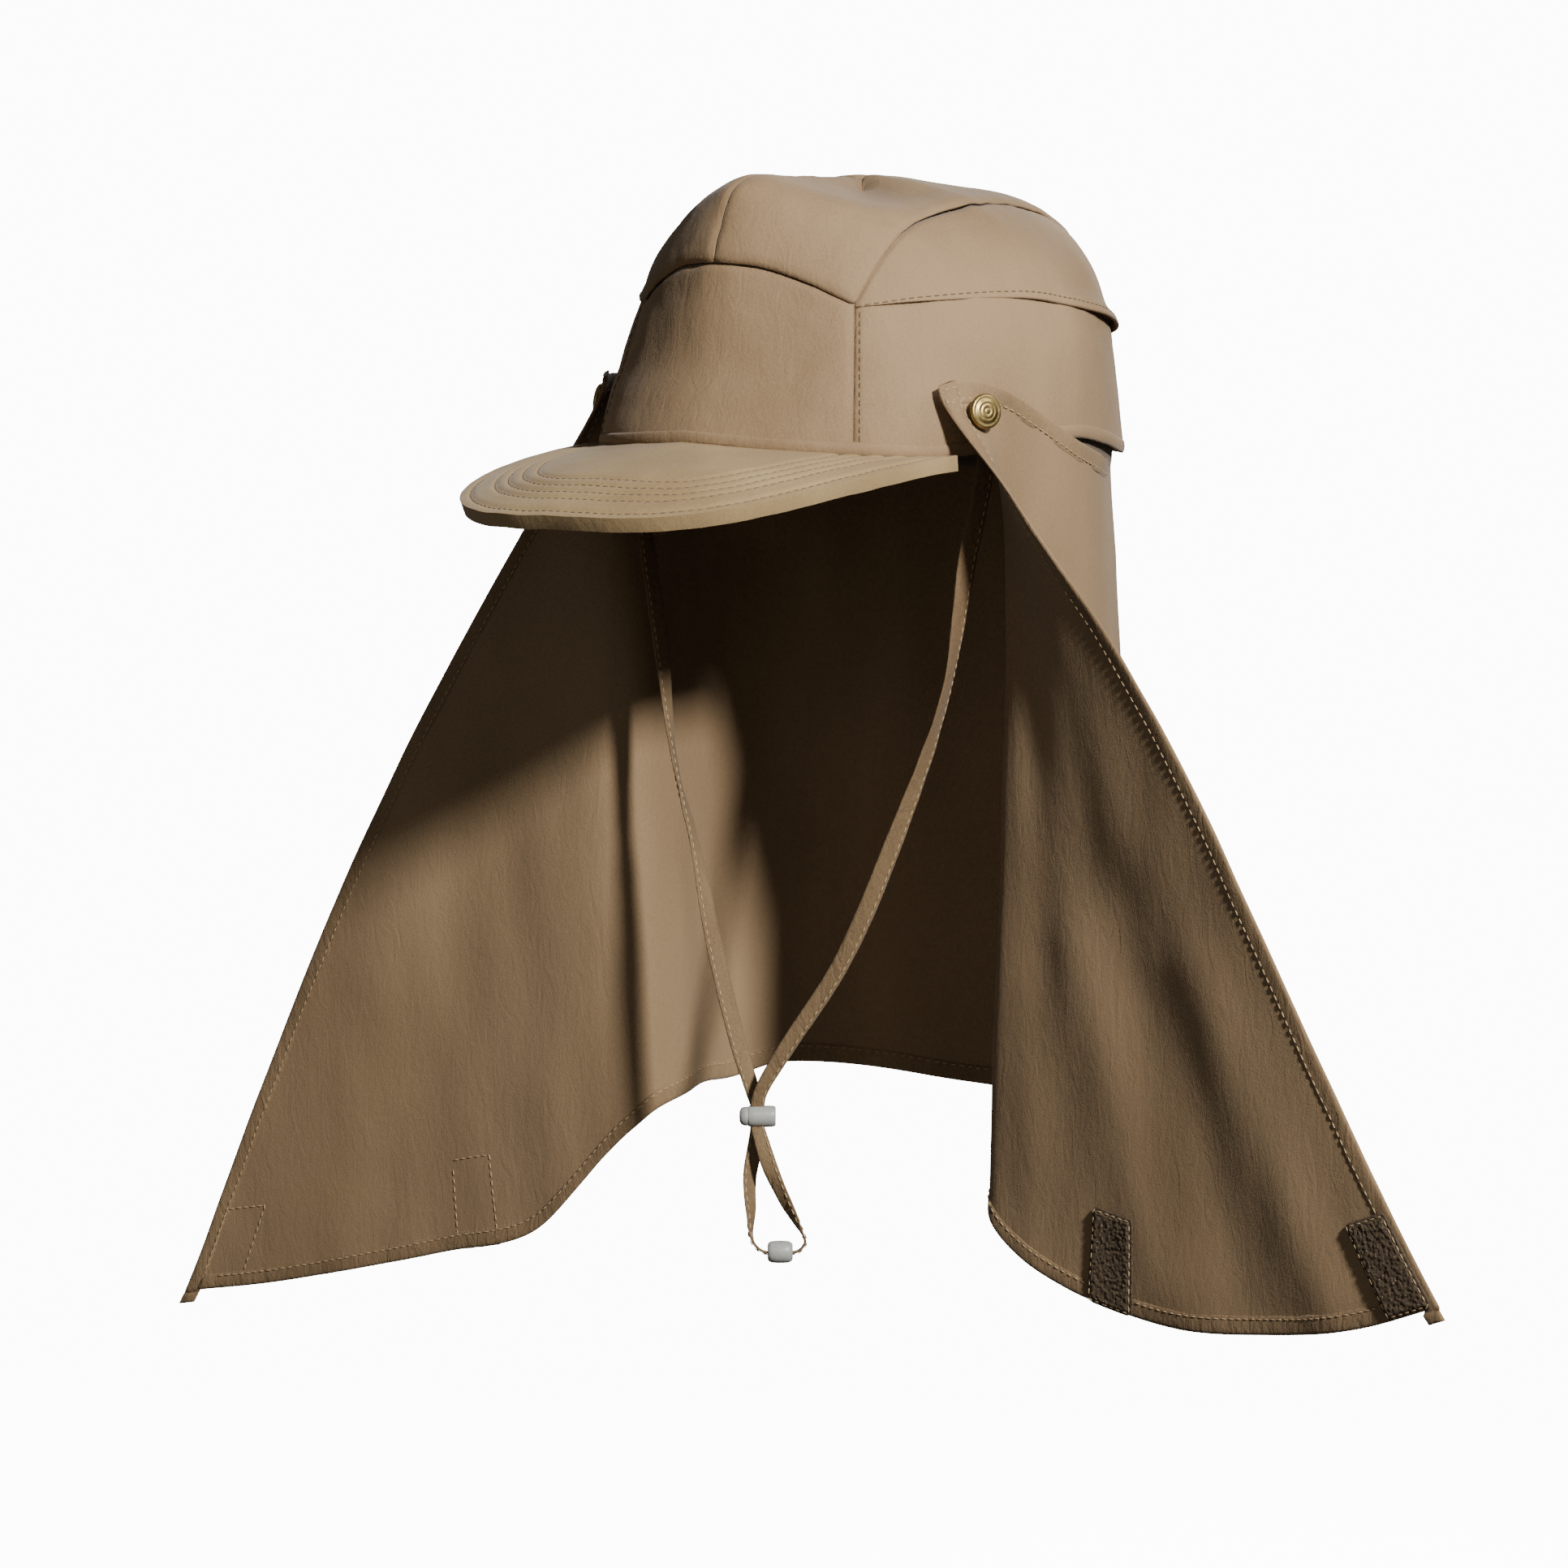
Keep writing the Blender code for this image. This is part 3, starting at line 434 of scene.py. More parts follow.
# %% Crown tables
CROWN_HALF_WIDTH = 0.0855
CROWN_HALF_LENGTH = 0.103
CROWN_HEIGHT = 0.0940
CROWN_CENTRE = np.array([0.0, 0.0, 0.2 * CROWN_HEIGHT])
CORNER_POWER = 1.60
CORNER_ELEVATION = math.radians(45)
FRONT_PANEL_TURN = 41.0
SIDE_PANEL_BACK_TURN = 156.0
FRONT_PROFILE = (
    # out and rise, as shares of the crown's half size and height
    (1.010, -0.080), (1.000, 0.045), (0.945, 0.180), (0.885, 0.320), (0.848, 0.520), (0.816, 0.700),
    (0.772, 0.850), (0.716, 0.960), (0.640, 1.008), (0.450, 1.012), (0.230, 1.008), (0.000, 1.000),
)
SIDE_PROFILE = (
    (1.000, -0.080), (1.000, 0.040), (0.988, 0.250), (0.965, 0.410), (0.920, 0.540), (0.875, 0.650),
    (0.800, 0.755), (0.690, 0.850), (0.560, 0.920), (0.400, 0.955), (0.200, 0.988), (0.000, 1.000),
)
BACK_PROFILE = (
    (1.000, -0.080), (1.000, 0.040), (0.995, 0.250), (0.985, 0.410), (0.960, 0.540), (0.925, 0.655),
    (0.870, 0.755), (0.785, 0.845), (0.650, 0.915), (0.420, 0.955), (0.200, 0.988), (0.000, 1.000),
)
# Turn, and rise as a share of the crown's height
RIM_LINE = (
    (0, 0.049), (43, 0.010), (60, 0.000), (72, 0.016), (98, 0.054), (112, 0.020), (125, -0.020),
    (150, -0.035), (180, -0.040),
)
YOKE_LINE = ((0, 0.705), (15, 0.690), (28, 0.635), (40, 0.560))
BAND_LINE = (
    (38, 0.560), (60, 0.585), (85, 0.590), (105, 0.545), (125, 0.480), (145, 0.425), (180, 0.375),
)
# The seam between the top and side panels, as shares of the half width, half length and height
SIDE_TOP_SEAM = (
    (0.585, -0.573, 0.560), (0.590, -0.470, 0.710), (0.590, -0.330, 0.850), (0.585, -0.170, 0.910),
    (0.580, 0.020, 0.920), (0.540, 0.200, 0.925), (0.490, 0.420, 0.880), (0.455, 0.640, 0.790),
    (0.430, 0.820, 0.640), (0.421, 0.900, 0.440),
)


def in_polar(profile, half_size):
    outs = np.array([row[0] for row in profile]) * half_size
    rises = np.array([row[1] for row in profile]) * CROWN_HEIGHT - CROWN_CENTRE[2]
    return np.arctan2(rises, outs), np.hypot(rises, outs)


FRONT_POLAR = in_polar(FRONT_PROFILE, CROWN_HALF_LENGTH)
SIDE_POLAR = in_polar(SIDE_PROFILE, CROWN_HALF_WIDTH)
BACK_POLAR = in_polar(BACK_PROFILE, CROWN_HALF_LENGTH)


def crown_radius(way):
    """Distance from the crown's centre to its outer face along each unit direction."""
    flat = np.hypot(way[..., 0], way[..., 1])
    elevation = np.arctan2(way[..., 2], flat)
    side = smooth(*SIDE_POLAR, elevation)
    ahead = way[..., 1] < 0
    end = np.where(ahead, smooth(*FRONT_POLAR, elevation), smooth(*BACK_POLAR, elevation))
    corner = np.where(ahead, np.clip(elevation / CORNER_ELEVATION, 0.0, 1.0), 0.0)
    power = 2.0 + (CORNER_POWER - 2.0) * corner
    across = np.abs(way[..., 0]) / np.maximum(flat, 1e-9)
    along = np.abs(way[..., 1]) / np.maximum(flat, 1e-9)
    return ((across / side) ** power + (along / end) ** power) ** (-1.0 / power)


def on_crown(guess, outward=0.0):
    """The crown's outer face under each guess, moved outward along the same line."""
    way = unit(np.asarray(guess) - CROWN_CENTRE)
    return CROWN_CENTRE + way * (crown_radius(way) + outward)[..., None]


def crown_at(turn, rise, outward=0.0):
    """The crown's outer face at each turn round the head and height above the origin."""
    turn, rise, outward = np.broadcast_arrays(
        np.asarray(turn, dtype=float), np.asarray(rise, dtype=float), np.asarray(outward, dtype=float))
    angle = np.radians(turn)
    heading = np.stack([
        CROWN_HALF_WIDTH * np.sin(angle), -CROWN_HALF_LENGTH * np.cos(angle), np.zeros_like(angle)], axis=-1)
    flat = np.linalg.norm(heading, axis=-1)
    heading = heading / flat[..., None]
    lift = np.zeros_like(heading)
    lift[..., 2] = rise - CROWN_CENTRE[2]
    for _ in range(10):
        way = unit(heading * flat[..., None] + lift)
        flat = crown_radius(way) * np.hypot(way[..., 0], way[..., 1])
    lift[..., 2] = rise
    return heading * (flat + outward)[..., None] + lift


def rim_rise(turn):
    return CROWN_HEIGHT * table_at(RIM_LINE, np.abs(turn))


def band_rise(turn):
    return CROWN_HEIGHT * table_at(BAND_LINE, np.abs(turn))


def yoke_rise(turn):
    return CROWN_HEIGHT * table_at(YOKE_LINE, np.abs(turn))


def seam_point(share):
    """The seam between the top and side panels, drawn to the corners that both share with the others."""
    share = np.asarray(share, dtype=float)
    keys = np.linspace(0.0, 1.0, len(SIDE_TOP_SEAM))
    rows = np.array(SIDE_TOP_SEAM) * np.array([CROWN_HALF_WIDTH, CROWN_HALF_LENGTH, CROWN_HEIGHT])
    front = crown_at(FRONT_PANEL_TURN, yoke_rise(FRONT_PANEL_TURN)) - rows[0]
    back = crown_at(SIDE_PANEL_BACK_TURN, band_rise(SIDE_PANEL_BACK_TURN)) - rows[-1]
    drawn = front * ((1 - share) ** 3)[..., None] + back * (share**3)[..., None]
    return on_crown(smooth(keys, rows, share) + drawn)


top_of_crown = crown_at(0.0, 0.5 * CROWN_HEIGHT)
print("Front of the crown at half height:", np.round(top_of_crown, 4))

# %% [markdown]
# ## Crown panels
#
# The crown is seven panels: a front one, and on each side a lower band, an upper side panel and a top
# panel. Where two panels are sewn, the seam pulls the cloth in, so each panel dips along its sewn edges.
# Soft dents and puckers near the seams keep the cloth from looking like a shell. The upper panels' lower
# edges lie over the panels below, and stand off a little towards the back.

# %% Panel shapes
CLOTH = 0.0011
SEAM_DIP = 0.0010
SEAM_REACH = 0.0016


def dip(distance):
    """How far cloth is drawn in at this distance from a seam."""
    return -SEAM_DIP * np.exp(-((distance / SEAM_REACH) ** 2))


def puckers(points, distance, reach=0.012):
    """Small ripples that run out from a seam and fade over this reach."""
    return 0.0005 * soft_noise(points, 0.0075) * np.exp(-distance / reach)


def dented(points, depth=0.0010, seed=0.0):
    """Push crown points in and out by broad soft dents and finer creases."""
    way = unit(points - CROWN_CENTRE)
    broad = depth * soft_noise(points, 0.032, (1, 1, 1.6), seed)
    fine = 0.30 * depth * soft_noise(points, 0.011, (1, 1, 1.8), seed + 7)
    return points + way * (broad + fine)[:, None]


def panel(points, seam_distance, over=0.0, depth=0.0010, seed=0.0):
    """Finish a panel's points: dip to its seams, puckers, dents and how far it lies over its neighbours."""
    way = unit(points - CROWN_CENTRE)
    shift = dip(seam_distance) + puckers(points, seam_distance) + over
    return dented(points + way * shift[:, None], depth, seed)


def front_place(u, v):
    turn = (2 * u - 1) * FRONT_PANEL_TURN
    low, high = rim_rise(turn), yoke_rise(turn)
    points = crown_at(turn, low + (high - low) * v)
    sides = 0.125 * np.minimum(u, 1 - u)
    return panel(points, np.minimum(sides, (high - low) * (1 - v)), depth=0.0009, seed=3.0)


def band_flare(turn, v):
    return 0.0030 * (1 - v) ** 4 * np.maximum(0.0, np.sin(np.radians(turn - 96.0)))


def band_place(u, v):
    turn = FRONT_PANEL_TURN + (180 - FRONT_PANEL_TURN) * u
    low, high = rim_rise(turn), band_rise(turn)
    points = crown_at(turn, low + (high - low) * v, band_flare(turn, v))
    sides = 0.21 * np.minimum(u, 1 - u)
    return panel(points, np.minimum(sides, (high - low) * (1 - v)), depth=0.0011, seed=11.0)


def lap_lift(share):
    """How far the upper side panel's lower edge stands off the band: it gapes behind the ear."""
    return 0.0006 + 0.0030 * np.exp(-(((share - 0.72) / 0.17) ** 2))


def side_place(u, v):
    turn = FRONT_PANEL_TURN + (SIDE_PANEL_BACK_TURN - FRONT_PANEL_TURN) * u
    low = crown_at(turn, band_rise(turn) - 0.0022)
    high = seam_point(u)
    points = on_crown(low + (high - low) * v[:, None])
    height = np.linalg.norm(high - low, axis=-1)
    over = lap_lift(u) * np.exp(-((height * v / 0.006) ** 2))
    ends = 0.17 * np.minimum(u, 1 - u)
    return panel(points, np.minimum(ends, height * (1 - v)), over, depth=0.0010, seed=23.0)


def top_place(u, v):
    """From the centre seam out and from the yoke back, blended between its four edges."""
    front_mid = np.array([0.0, -CROWN_HALF_LENGTH * 0.84, yoke_rise(0.0)])
    back_mid = np.array([0.0, CROWN_HALF_LENGTH * 0.985, band_rise(180.0)])
    swing = math.pi * v
    middle = np.zeros((len(v), 3))
    middle[:, 1] = (front_mid[1] + back_mid[1]) / 2 - (back_mid[1] - front_mid[1]) / 2 * np.cos(swing)
    low = front_mid[2] + (back_mid[2] - front_mid[2]) * v
    middle[:, 2] = low + (CROWN_HEIGHT * 1.02 - low) * np.maximum(np.sin(swing), 0.0) ** 0.6
    middle = on_crown(middle)
    middle[:, 0] = 0.0
    outer = seam_point(v)
    front = crown_at(FRONT_PANEL_TURN * u, yoke_rise(FRONT_PANEL_TURN * u))
    turn_back = 180 - (180 - SIDE_PANEL_BACK_TURN) * u
    back = crown_at(turn_back, band_rise(turn_back))
    ruled = middle + (outer - middle) * u[:, None]
    front_mid, back_mid = on_crown(front_mid), on_crown(back_mid)
    front_ruled = front_mid + (seam_point(0.0) - front_mid) * u[:, None]
    back_ruled = back_mid + (seam_point(1.0) - back_mid) * u[:, None]
    guess = ruled + (front - front_ruled) * ((1 - v) ** 3)[:, None] + (back - back_ruled) * (v**3)[:, None]
    points = on_crown(guess)
    points[:, 0] = np.maximum(points[:, 0], 0.0)
    wide = np.linalg.norm(outer - middle, axis=-1)
    edges = np.minimum(np.minimum(wide * u, wide * (1 - u)), 0.21 * np.minimum(v, 1 - v))
    return panel(points, edges, 0.0004, depth=0.0009, seed=31.0)


def mirrored(place, side):
    """Use a place function of the wearer's left on either side."""
    if side > 0:
        return place
    return lambda u, v: place(1 - u, v) * np.array([-1.0, 1.0, 1.0])


# %% Make the crown panels
add_wall(new_piece(
    "crown_front", lay_grid(front_place, 110, 60), crown_nylon, "crown_cloth", "front_panel"), CLOTH, -1)
for side, label in ((1, "left"), (-1, "right")):
    add_wall(new_piece(
        f"crown_band_{label}", lay_grid(mirrored(band_place, side), 190, 56), crown_nylon,
        "crown_cloth", f"side_band_{label}"), CLOTH, -1)
    add_wall(new_piece(
        f"crown_side_{label}", lay_grid(mirrored(side_place, side), 150, 50), crown_nylon,
        "crown_cloth", f"side_panel_{label}"), CLOTH, -1)
    add_wall(new_piece(
        f"crown_top_{label}", lay_grid(mirrored(top_place, side), 56, 150), crown_nylon,
        "crown_cloth", f"top_panel_{label}"), CLOTH, 1)
print("Crown panels: 7")

# %% [markdown]
# ## Rim and sweatband
#
# The rim is turned in and stitched, so its edge is a soft round lip. Inside it sits a sweatband that shows
# from below. Both are strips rolled from a grid along the rim line, closed all the way round the head.

# %% Rim lip and sweatband
BAND_HEIGHT = 0.026
BAND_STAND = 0.0018


def rim_turn(share):
    return -180.0 + 360.0 * share


def lip_place(around, along):
    turn = rim_turn(along)
    swing = 2 * math.pi * around
    flare = band_flare(np.abs(turn), 0.0 * turn)
    base = crown_at(turn, rim_rise(turn) + 0.0012, flare - CLOTH / 2)
    out = unit(base * np.array([1.0, 1.0, 0.0]))
    swell = 1.0 + 0.25 * soft_noise(base, 0.006)
    points = base + out * (0.0011 * swell * np.cos(swing))[:, None]
    points[:, 2] += 0.0026 * np.sin(swing)
    return points


def sweatband_place(around, along):
    turn = rim_turn(along)
    swing = 2 * math.pi * around
    # Behind the ears it reaches lower, and closes the slit between the rim and the flap's top
    low = rim_rise(turn) + 0.0015 - 0.010 * np.clip((np.abs(turn) - 88.0) / 10.0, 0.0, 1.0)
    high = rim_rise(turn) + 0.0015 + BAND_HEIGHT
    rise = (low + high) / 2 + (high - low) / 2 * np.sin(swing)
    thin = 0.0007 * np.sign(np.cos(swing)) * np.abs(np.cos(swing)) ** 0.5
    points = crown_at(turn, rise, -CLOTH - BAND_STAND + thin)
    way = unit(points - CROWN_CENTRE)
    return points + way * (0.0004 * soft_noise(points, 0.012, (1, 1, 3)))[:, None]


rim_lip = new_piece("rim_lip", lay_strip(lip_place, 10, 360), crown_nylon, "crown_cloth")
sweatband = new_piece("sweatband", lay_strip(sweatband_place, 24, 240), band_nylon, "crown_cloth")
print("Rim lip and sweatband laid")

# %% [markdown]
# ## The peak
#
# The peak is a stiff board between two layers of cloth, about 5.5 mm thick with a soft rounded edge. Five
# rows of stitches run round it and pull the cloth into shallow grooves. The grooves are real geometry: each
# point of the grid is lowered by how near it lies to a row, and a Solidify and a Bevel make the board.

# %% Peak shape
PEAK_TURN = 60.0
PEAK_REACH = 0.070
PEAK_HALF_WIDTH = 0.0815
PEAK_DROP = 0.0232
PEAK_THICKNESS = 0.0055
PEAK_SQUARENESS = 2.8
PEAK_DROP_CURVE = 1.5
PEAK_ARCH = 0.0035
PEAK_ROWS = (0.0040, 0.0125, 0.0172, 0.0222, 0.0275)


def peak_outline(u):
    turn = (2 * u - 1) * PEAK_TURN
    swing = (2 * u - 1) * math.pi / 2
    power = 2 / PEAK_SQUARENESS
    end_y = -CROWN_HALF_LENGTH * math.cos(math.radians(PEAK_TURN))
    reach = CROWN_HALF_LENGTH + PEAK_REACH + end_y
    along = np.abs(np.cos(swing)) ** power
    across = PEAK_HALF_WIDTH * np.sign(swing) * np.abs(np.sin(swing)) ** power
    return np.stack([across, end_y - reach * along, rim_rise(turn) - PEAK_DROP * along**PEAK_DROP_CURVE], -1)


def peak_smooth(u, v):
    turn = (2 * u - 1) * PEAK_TURN
    inner = crown_at(turn, 0.0, -0.0016)
    inner[..., 2] = rim_rise(turn) - 0.0003
    points = inner + (peak_outline(u) - inner) * v[..., None]
    points[..., 2] += PEAK_ARCH * np.sin(math.pi * v) * (1 - (2 * u - 1) ** 2)
    return points


# Extra columns near the ends of the outline, where the squarish edge turns fastest
OUTLINE = peak_outline(0.5 - 0.5 * np.cos(np.linspace(0, math.pi, 500)))


def from_outline(points):
    """Plan distance from each point to the peak's outer edge."""
    flat = points[:, None, :2] - OUTLINE[None, :, :2]
    return np.sqrt((flat**2).sum(-1)).min(1)


def peak_place(u, v):
    points = peak_smooth(u, v)
    distance = np.concatenate([from_outline(chunk) for chunk in np.array_split(points, 20)])
    for row in PEAK_ROWS:
        points[:, 2] -= 0.00075 * np.exp(-(((distance - row) / 0.0011) ** 2))
    points[:, 2] += 0.00022 * soft_noise(points, 0.010)
    return points


peak = new_piece("peak_board", lay_grid(peak_place, 200, 90), peak_nylon_painted_lit, "peak_cloth", "peak")
add_wall(peak, PEAK_THICKNESS, 1)
soft_edge = peak.modifiers.new("Rounded edge", "BEVEL")
soft_edge.width = 0.0023
soft_edge.segments = 5
soft_edge.limit_method = "ANGLE"
soft_edge.angle_limit = math.radians(60)
print("Peak rows:", len(PEAK_ROWS))

# %% [markdown]
# ## The flap's shape
#
# The flap is one sheet that starts at the snap in front of each ear, runs round the head under the rim and
# hangs to the shoulders. Its front corners are held up by the snaps, so both sides swing out as wings. Its
# surface is drawn through ribs: each has a top on the crown and a foot on the hem, and the cloth between
# is blended. The two wings hang at different heights, as they do in the photograph.

# %% Flap tables
FLAP_DROP = 0.290
FLAP_REACH = 0.282
FLAP_HEM = 0.0072
FLAP_PINNED = 0.03
FLAP_LAP = 0.0014
# How far each wing's edge bows out, and how fast the bow fades down the wing
BOW_LEFT, FADE_LEFT = 0.137, 2.0
BOW_RIGHT, FADE_RIGHT = 0.082, 1.3
FLAP_RIBS = (
    # turn, laps, rise, across, along, left drop, right drop, wing
    (59.3, 1.0, 0.240, 1.000, -0.485, 0.965, 1.120, 1.00),
    (61.6, 1.0, 0.255, 0.870, -0.440, 1.005, 1.100, 0.85),
    (64.0, 1.0, 0.262, 0.730, -0.390, 1.027, 1.072, 0.68),
    (66.5, 1.0, 0.264, 0.590, -0.340, 1.034, 1.040, 0.50),
    (69.0, 1.0, 0.260, 0.450, -0.305, 1.014, 1.004, 0.32),
    (72.0, 1.3, 0.245, 0.335, -0.285, 0.974, 0.900, 0.14),
    (77.0, 1.6, 0.210, 0.272, -0.245, 0.925, 0.843, 0.03),
    (86.0, 1.7, 0.122, 0.270, -0.070, 0.880, 0.823, 0.00),
    (96.0, 1.5, 0.035, 0.288, 0.100, 0.862, 0.815, 0.00),
    (107.0, 0.4, -0.020, 0.295, 0.290, 0.852, 0.816, 0.00),
    (120.0, -2.0, -0.050, 0.275, 0.530, 0.846, 0.803, 0.00),
    (138.0, -2.4, 0.030, 0.210, 0.800, 0.844, 0.812, 0.00),
    (158.0, -2.2, 0.050, 0.110, 0.965, 0.843, 0.829, 0.00),
    (180.0, -2.2, 0.050, 0.000, 1.019, 0.838, 0.838, 0.00),
)


def rib_rows():
    """Top, foot and wing share of each rib, from the left front edge round the back to the right one."""
    turn, laps, rise, across, along, left_drop, right_drop, wing = np.array(FLAP_RIBS).T
    tops = crown_at(turn, 0.0, laps * FLAP_LAP)
    tops[:, 2] = rise * CROWN_HEIGHT
    foot = [across * FLAP_REACH, along * CROWN_HALF_LENGTH]
    left = np.column_stack([tops, *foot, -left_drop * FLAP_DROP, wing])
    right = np.column_stack([tops, *foot, -right_drop * FLAP_DROP, wing])
    flip = np.array([-1, 1, 1, -1, 1, 1, -1])
    return np.concatenate([left, right[-2::-1] * flip])


RIBS = rib_rows()
RIB_KEYS = np.linspace(0.0, 1.0, len(RIBS))


def flap_at(u, v):
    """The middle of the flap's cloth: u round from the left front edge, v down to the hem."""
    u, v = np.broadcast_arrays(np.asarray(u, dtype=float), np.asarray(v, dtype=float))
    row = smooth(RIB_KEYS, RIBS, u)
    top, foot, wing = row[..., :3], row[..., 3:6], row[..., 6]
    swing = (1 + FLAP_PINNED) * v * np.abs(v) / (np.abs(v) + FLAP_PINNED)
    points = top + (foot - top) * np.stack([swing, swing, v], axis=-1)
    bow = np.where(wing > 0, BOW_LEFT, BOW_RIGHT)
    fade = np.where(wing > 0, FADE_LEFT, FADE_RIGHT)
    points[..., 0] += bow * wing * np.maximum(swing, 0.0) * np.maximum(1 - swing, 0.0) ** fade
    return points


def flap_outward(u, v):
    """The unit direction out of the flap's outer face."""
    step = 0.002
    du = flap_at(np.minimum(u + step, 1.0), v) - flap_at(np.maximum(u - step, 0.0), v)
    dv = flap_at(u, np.minimum(v + step, 1.0)) - flap_at(u, np.maximum(v - step, 0.0))
    return unit(np.cross(dv, du))


# %% [markdown]
# ## Folds in the flap
#
# Light cloth that hangs from a few points falls in long soft ridges. Each fold is a line on the flap from
# one place to another, with a width and a height, and the cloth rises by a smooth bump over it. Broad noise
# adds the slack between folds. Near the crown everything fades out, so that the cloth stays flat on it.

# %% Fold table
FOLD_EASE = 0.42
FOLDS = (
    # from u, v, to u, v, width and height in metres
    (0.130, 0.10, 0.170, 0.62, 0.014, 0.0040),
    (0.060, 0.16, 0.090, 0.60, 0.012, -0.0020),
    (0.100, 0.55, 0.080, 0.98, 0.018, 0.0045),
    (0.140, 0.62, 0.120, 0.95, 0.014, -0.0040),
    (0.055, 0.62, 0.045, 0.96, 0.014, -0.0035),
    (0.300, 0.10, 0.310, 0.90, 0.016, 0.0030),
    (0.395, 0.12, 0.400, 0.95, 0.020, 0.0035),
    (0.450, 0.15, 0.445, 0.95, 0.018, -0.0035),
    (0.500, 0.10, 0.500, 0.98, 0.020, 0.0030),
    (0.560, 0.12, 0.555, 0.95, 0.018, -0.0030),
    (0.620, 0.10, 0.610, 0.95, 0.018, 0.0035),
    (0.690, 0.15, 0.700, 0.95, 0.014, -0.0030),
    (0.790, 0.16, 0.775, 0.98, 0.010, 0.0040),
    (0.850, 0.18, 0.840, 0.95, 0.014, -0.0025),
    (0.900, 0.25, 0.915, 0.90, 0.020, 0.0030),
    (0.955, 0.40, 0.960, 0.98, 0.014, -0.0020),
)


def near_line(points, start, end):
    """Distance from each point to a straight line between two places."""
    line = end - start
    share = np.clip(((points - start) @ line) / (line @ line), 0.0, 1.0)
    return np.linalg.norm(points - start - share[:, None] * line, axis=-1)


def fold_height(points):
    """How far the folds lift the cloth at each point of the flap."""
    height = np.zeros(len(points))
    for u0, v0, u1, v1, width, rise in FOLDS:
        start, end = flap_at(u0, v0), flap_at(u1, v1)
        height += FOLD_EASE * rise * np.exp(-((near_line(points, start, end) / width) ** 2))
    return height


def cloth_at(u, v, outward=0.0):
    """The flap's cloth with its folds, moved outward from its middle. u and v are flat arrays."""
    base = flap_at(u, v)
    way = flap_outward(u, v)
    fade = np.clip(v / 0.16, 0.0, 1.0) ** 2
    slack = 0.0018 * soft_noise(base, 0.075, (1, 1, 2.2), 5.0)
    slack += 0.0008 * soft_noise(base, 0.020, (1, 1, 2.0), 9.0)
    shift = (fold_height(base) + slack) * fade + outward
    return base + way * shift[:, None]


# %% [markdown]
# ## Measuring along the flap
#
# The folded edges, the hem and the stitches keep a constant distance from the flap's border. The blend that
# makes the flap doesn't keep lengths, so a few tables say which share lies a given distance from a border.

# %% Distance tables
LEVELS = np.linspace(-0.03, 1.03, 150)


def share_table(line, distance, most):
    """For each level, the share of a line that starts at the border and ends this far from it."""
    shares = np.linspace(0.0, most, 90)
    points = line(shares[None, :], LEVELS[:, None])
    spans = np.linalg.norm(points - points[:, :1], axis=-1)
    return np.array([np.interp(distance, span, shares) for span in spans])


LEFT_EDGE = share_table(lambda share, level: flap_at(share, level), FLAP_HEM, 0.20)
RIGHT_EDGE = share_table(lambda share, level: flap_at(1 - share, level), FLAP_HEM, 0.20)
BOTTOM = share_table(lambda share, level: flap_at(level, 1 - share), FLAP_HEM, 0.10)
TOP_BAND_WIDTH = 0.0076
TOP = share_table(lambda share, level: flap_at(level, share), TOP_BAND_WIDTH, 0.15)


def from_left(v, distance):
    return np.interp(v, LEVELS, LEFT_EDGE) * distance / FLAP_HEM


def from_right(v, distance):
    return 1 - np.interp(v, LEVELS, RIGHT_EDGE) * distance / FLAP_HEM


def from_bottom(u, distance):
    return 1 - np.interp(u, LEVELS, BOTTOM) * distance / FLAP_HEM


def from_top(u, distance):
    return np.interp(u, LEVELS, TOP) * distance / TOP_BAND_WIDTH


# %% Flap cloth
FLAP_CLOTH = 0.0006
FLAP_CUT = (0.84, 0.33)


def flap_place(u, v):
    # Columns crowd towards the wings, where the cloth is widest, and rows towards the top
    return cloth_at(u, v**1.15)


flap = new_piece("flap_cloth", lay_grid(flap_place, 320, 140, FLAP_CUT), flap_nylon, "flap_cloth", "flap")
add_wall(flap, FLAP_CLOTH, 0)
flap_area = sum(face.area for face in flap.data.polygons)
print("Flap cloth:", round(flap_area, 4), "square metres")

# %% [markdown]
# ## Folded edges and hem
#
# Each border of the flap is folded over twice and stitched, which makes a band 7 mm wide and three layers
# thick. It is round at the fold and flat at the stitches, and the thread gathers it into small puckers.

# %% Folded borders
FOLD_THICKNESS = 0.0018
PUCKER_MM = 11.0


def folded_section(around):
    """A folded edge's section: the share of its width, and its height from the middle of the cloth."""
    swing = 2 * math.pi * around
    share = 0.5 - 0.5 * np.cos(swing)
    rise = np.sign(np.sin(swing)) * np.abs(np.sin(swing)) ** 0.45
    return share, FOLD_THICKNESS / 2 * rise * (1.0 - 0.30 * share)


def puckered(points, share, rise, seed):
    """Thicken and thin a folded edge along its run, most at its stitched side."""
    lumps = soft_noise(points, PUCKER_MM / 1000, (1, 1, 1), seed)
    return rise * (1.0 + 0.55 * lumps * share) + 0.0006 * lumps * share


def edge_strip(side):
    border = from_left if side > 0 else from_right

    def place(around, along):
        share, rise = folded_section(around)
        down = -0.004 + (1.014 + 0.004) * along
        at = border(down, FLAP_HEM * share)
        return cloth_at(at, down, puckered(flap_at(at, down), share, rise, 17.0))

    return place


def hem_strip(around, along):
    share, rise = folded_section(around)
    near, far = from_left(1.0, FLAP_HEM * 0.8), from_right(1.0, FLAP_HEM * 0.8)
    at = near + (far - near) * along
    down = from_bottom(at, FLAP_HEM * share)
    return cloth_at(at, down, puckered(flap_at(at, down), share, rise, 19.0))


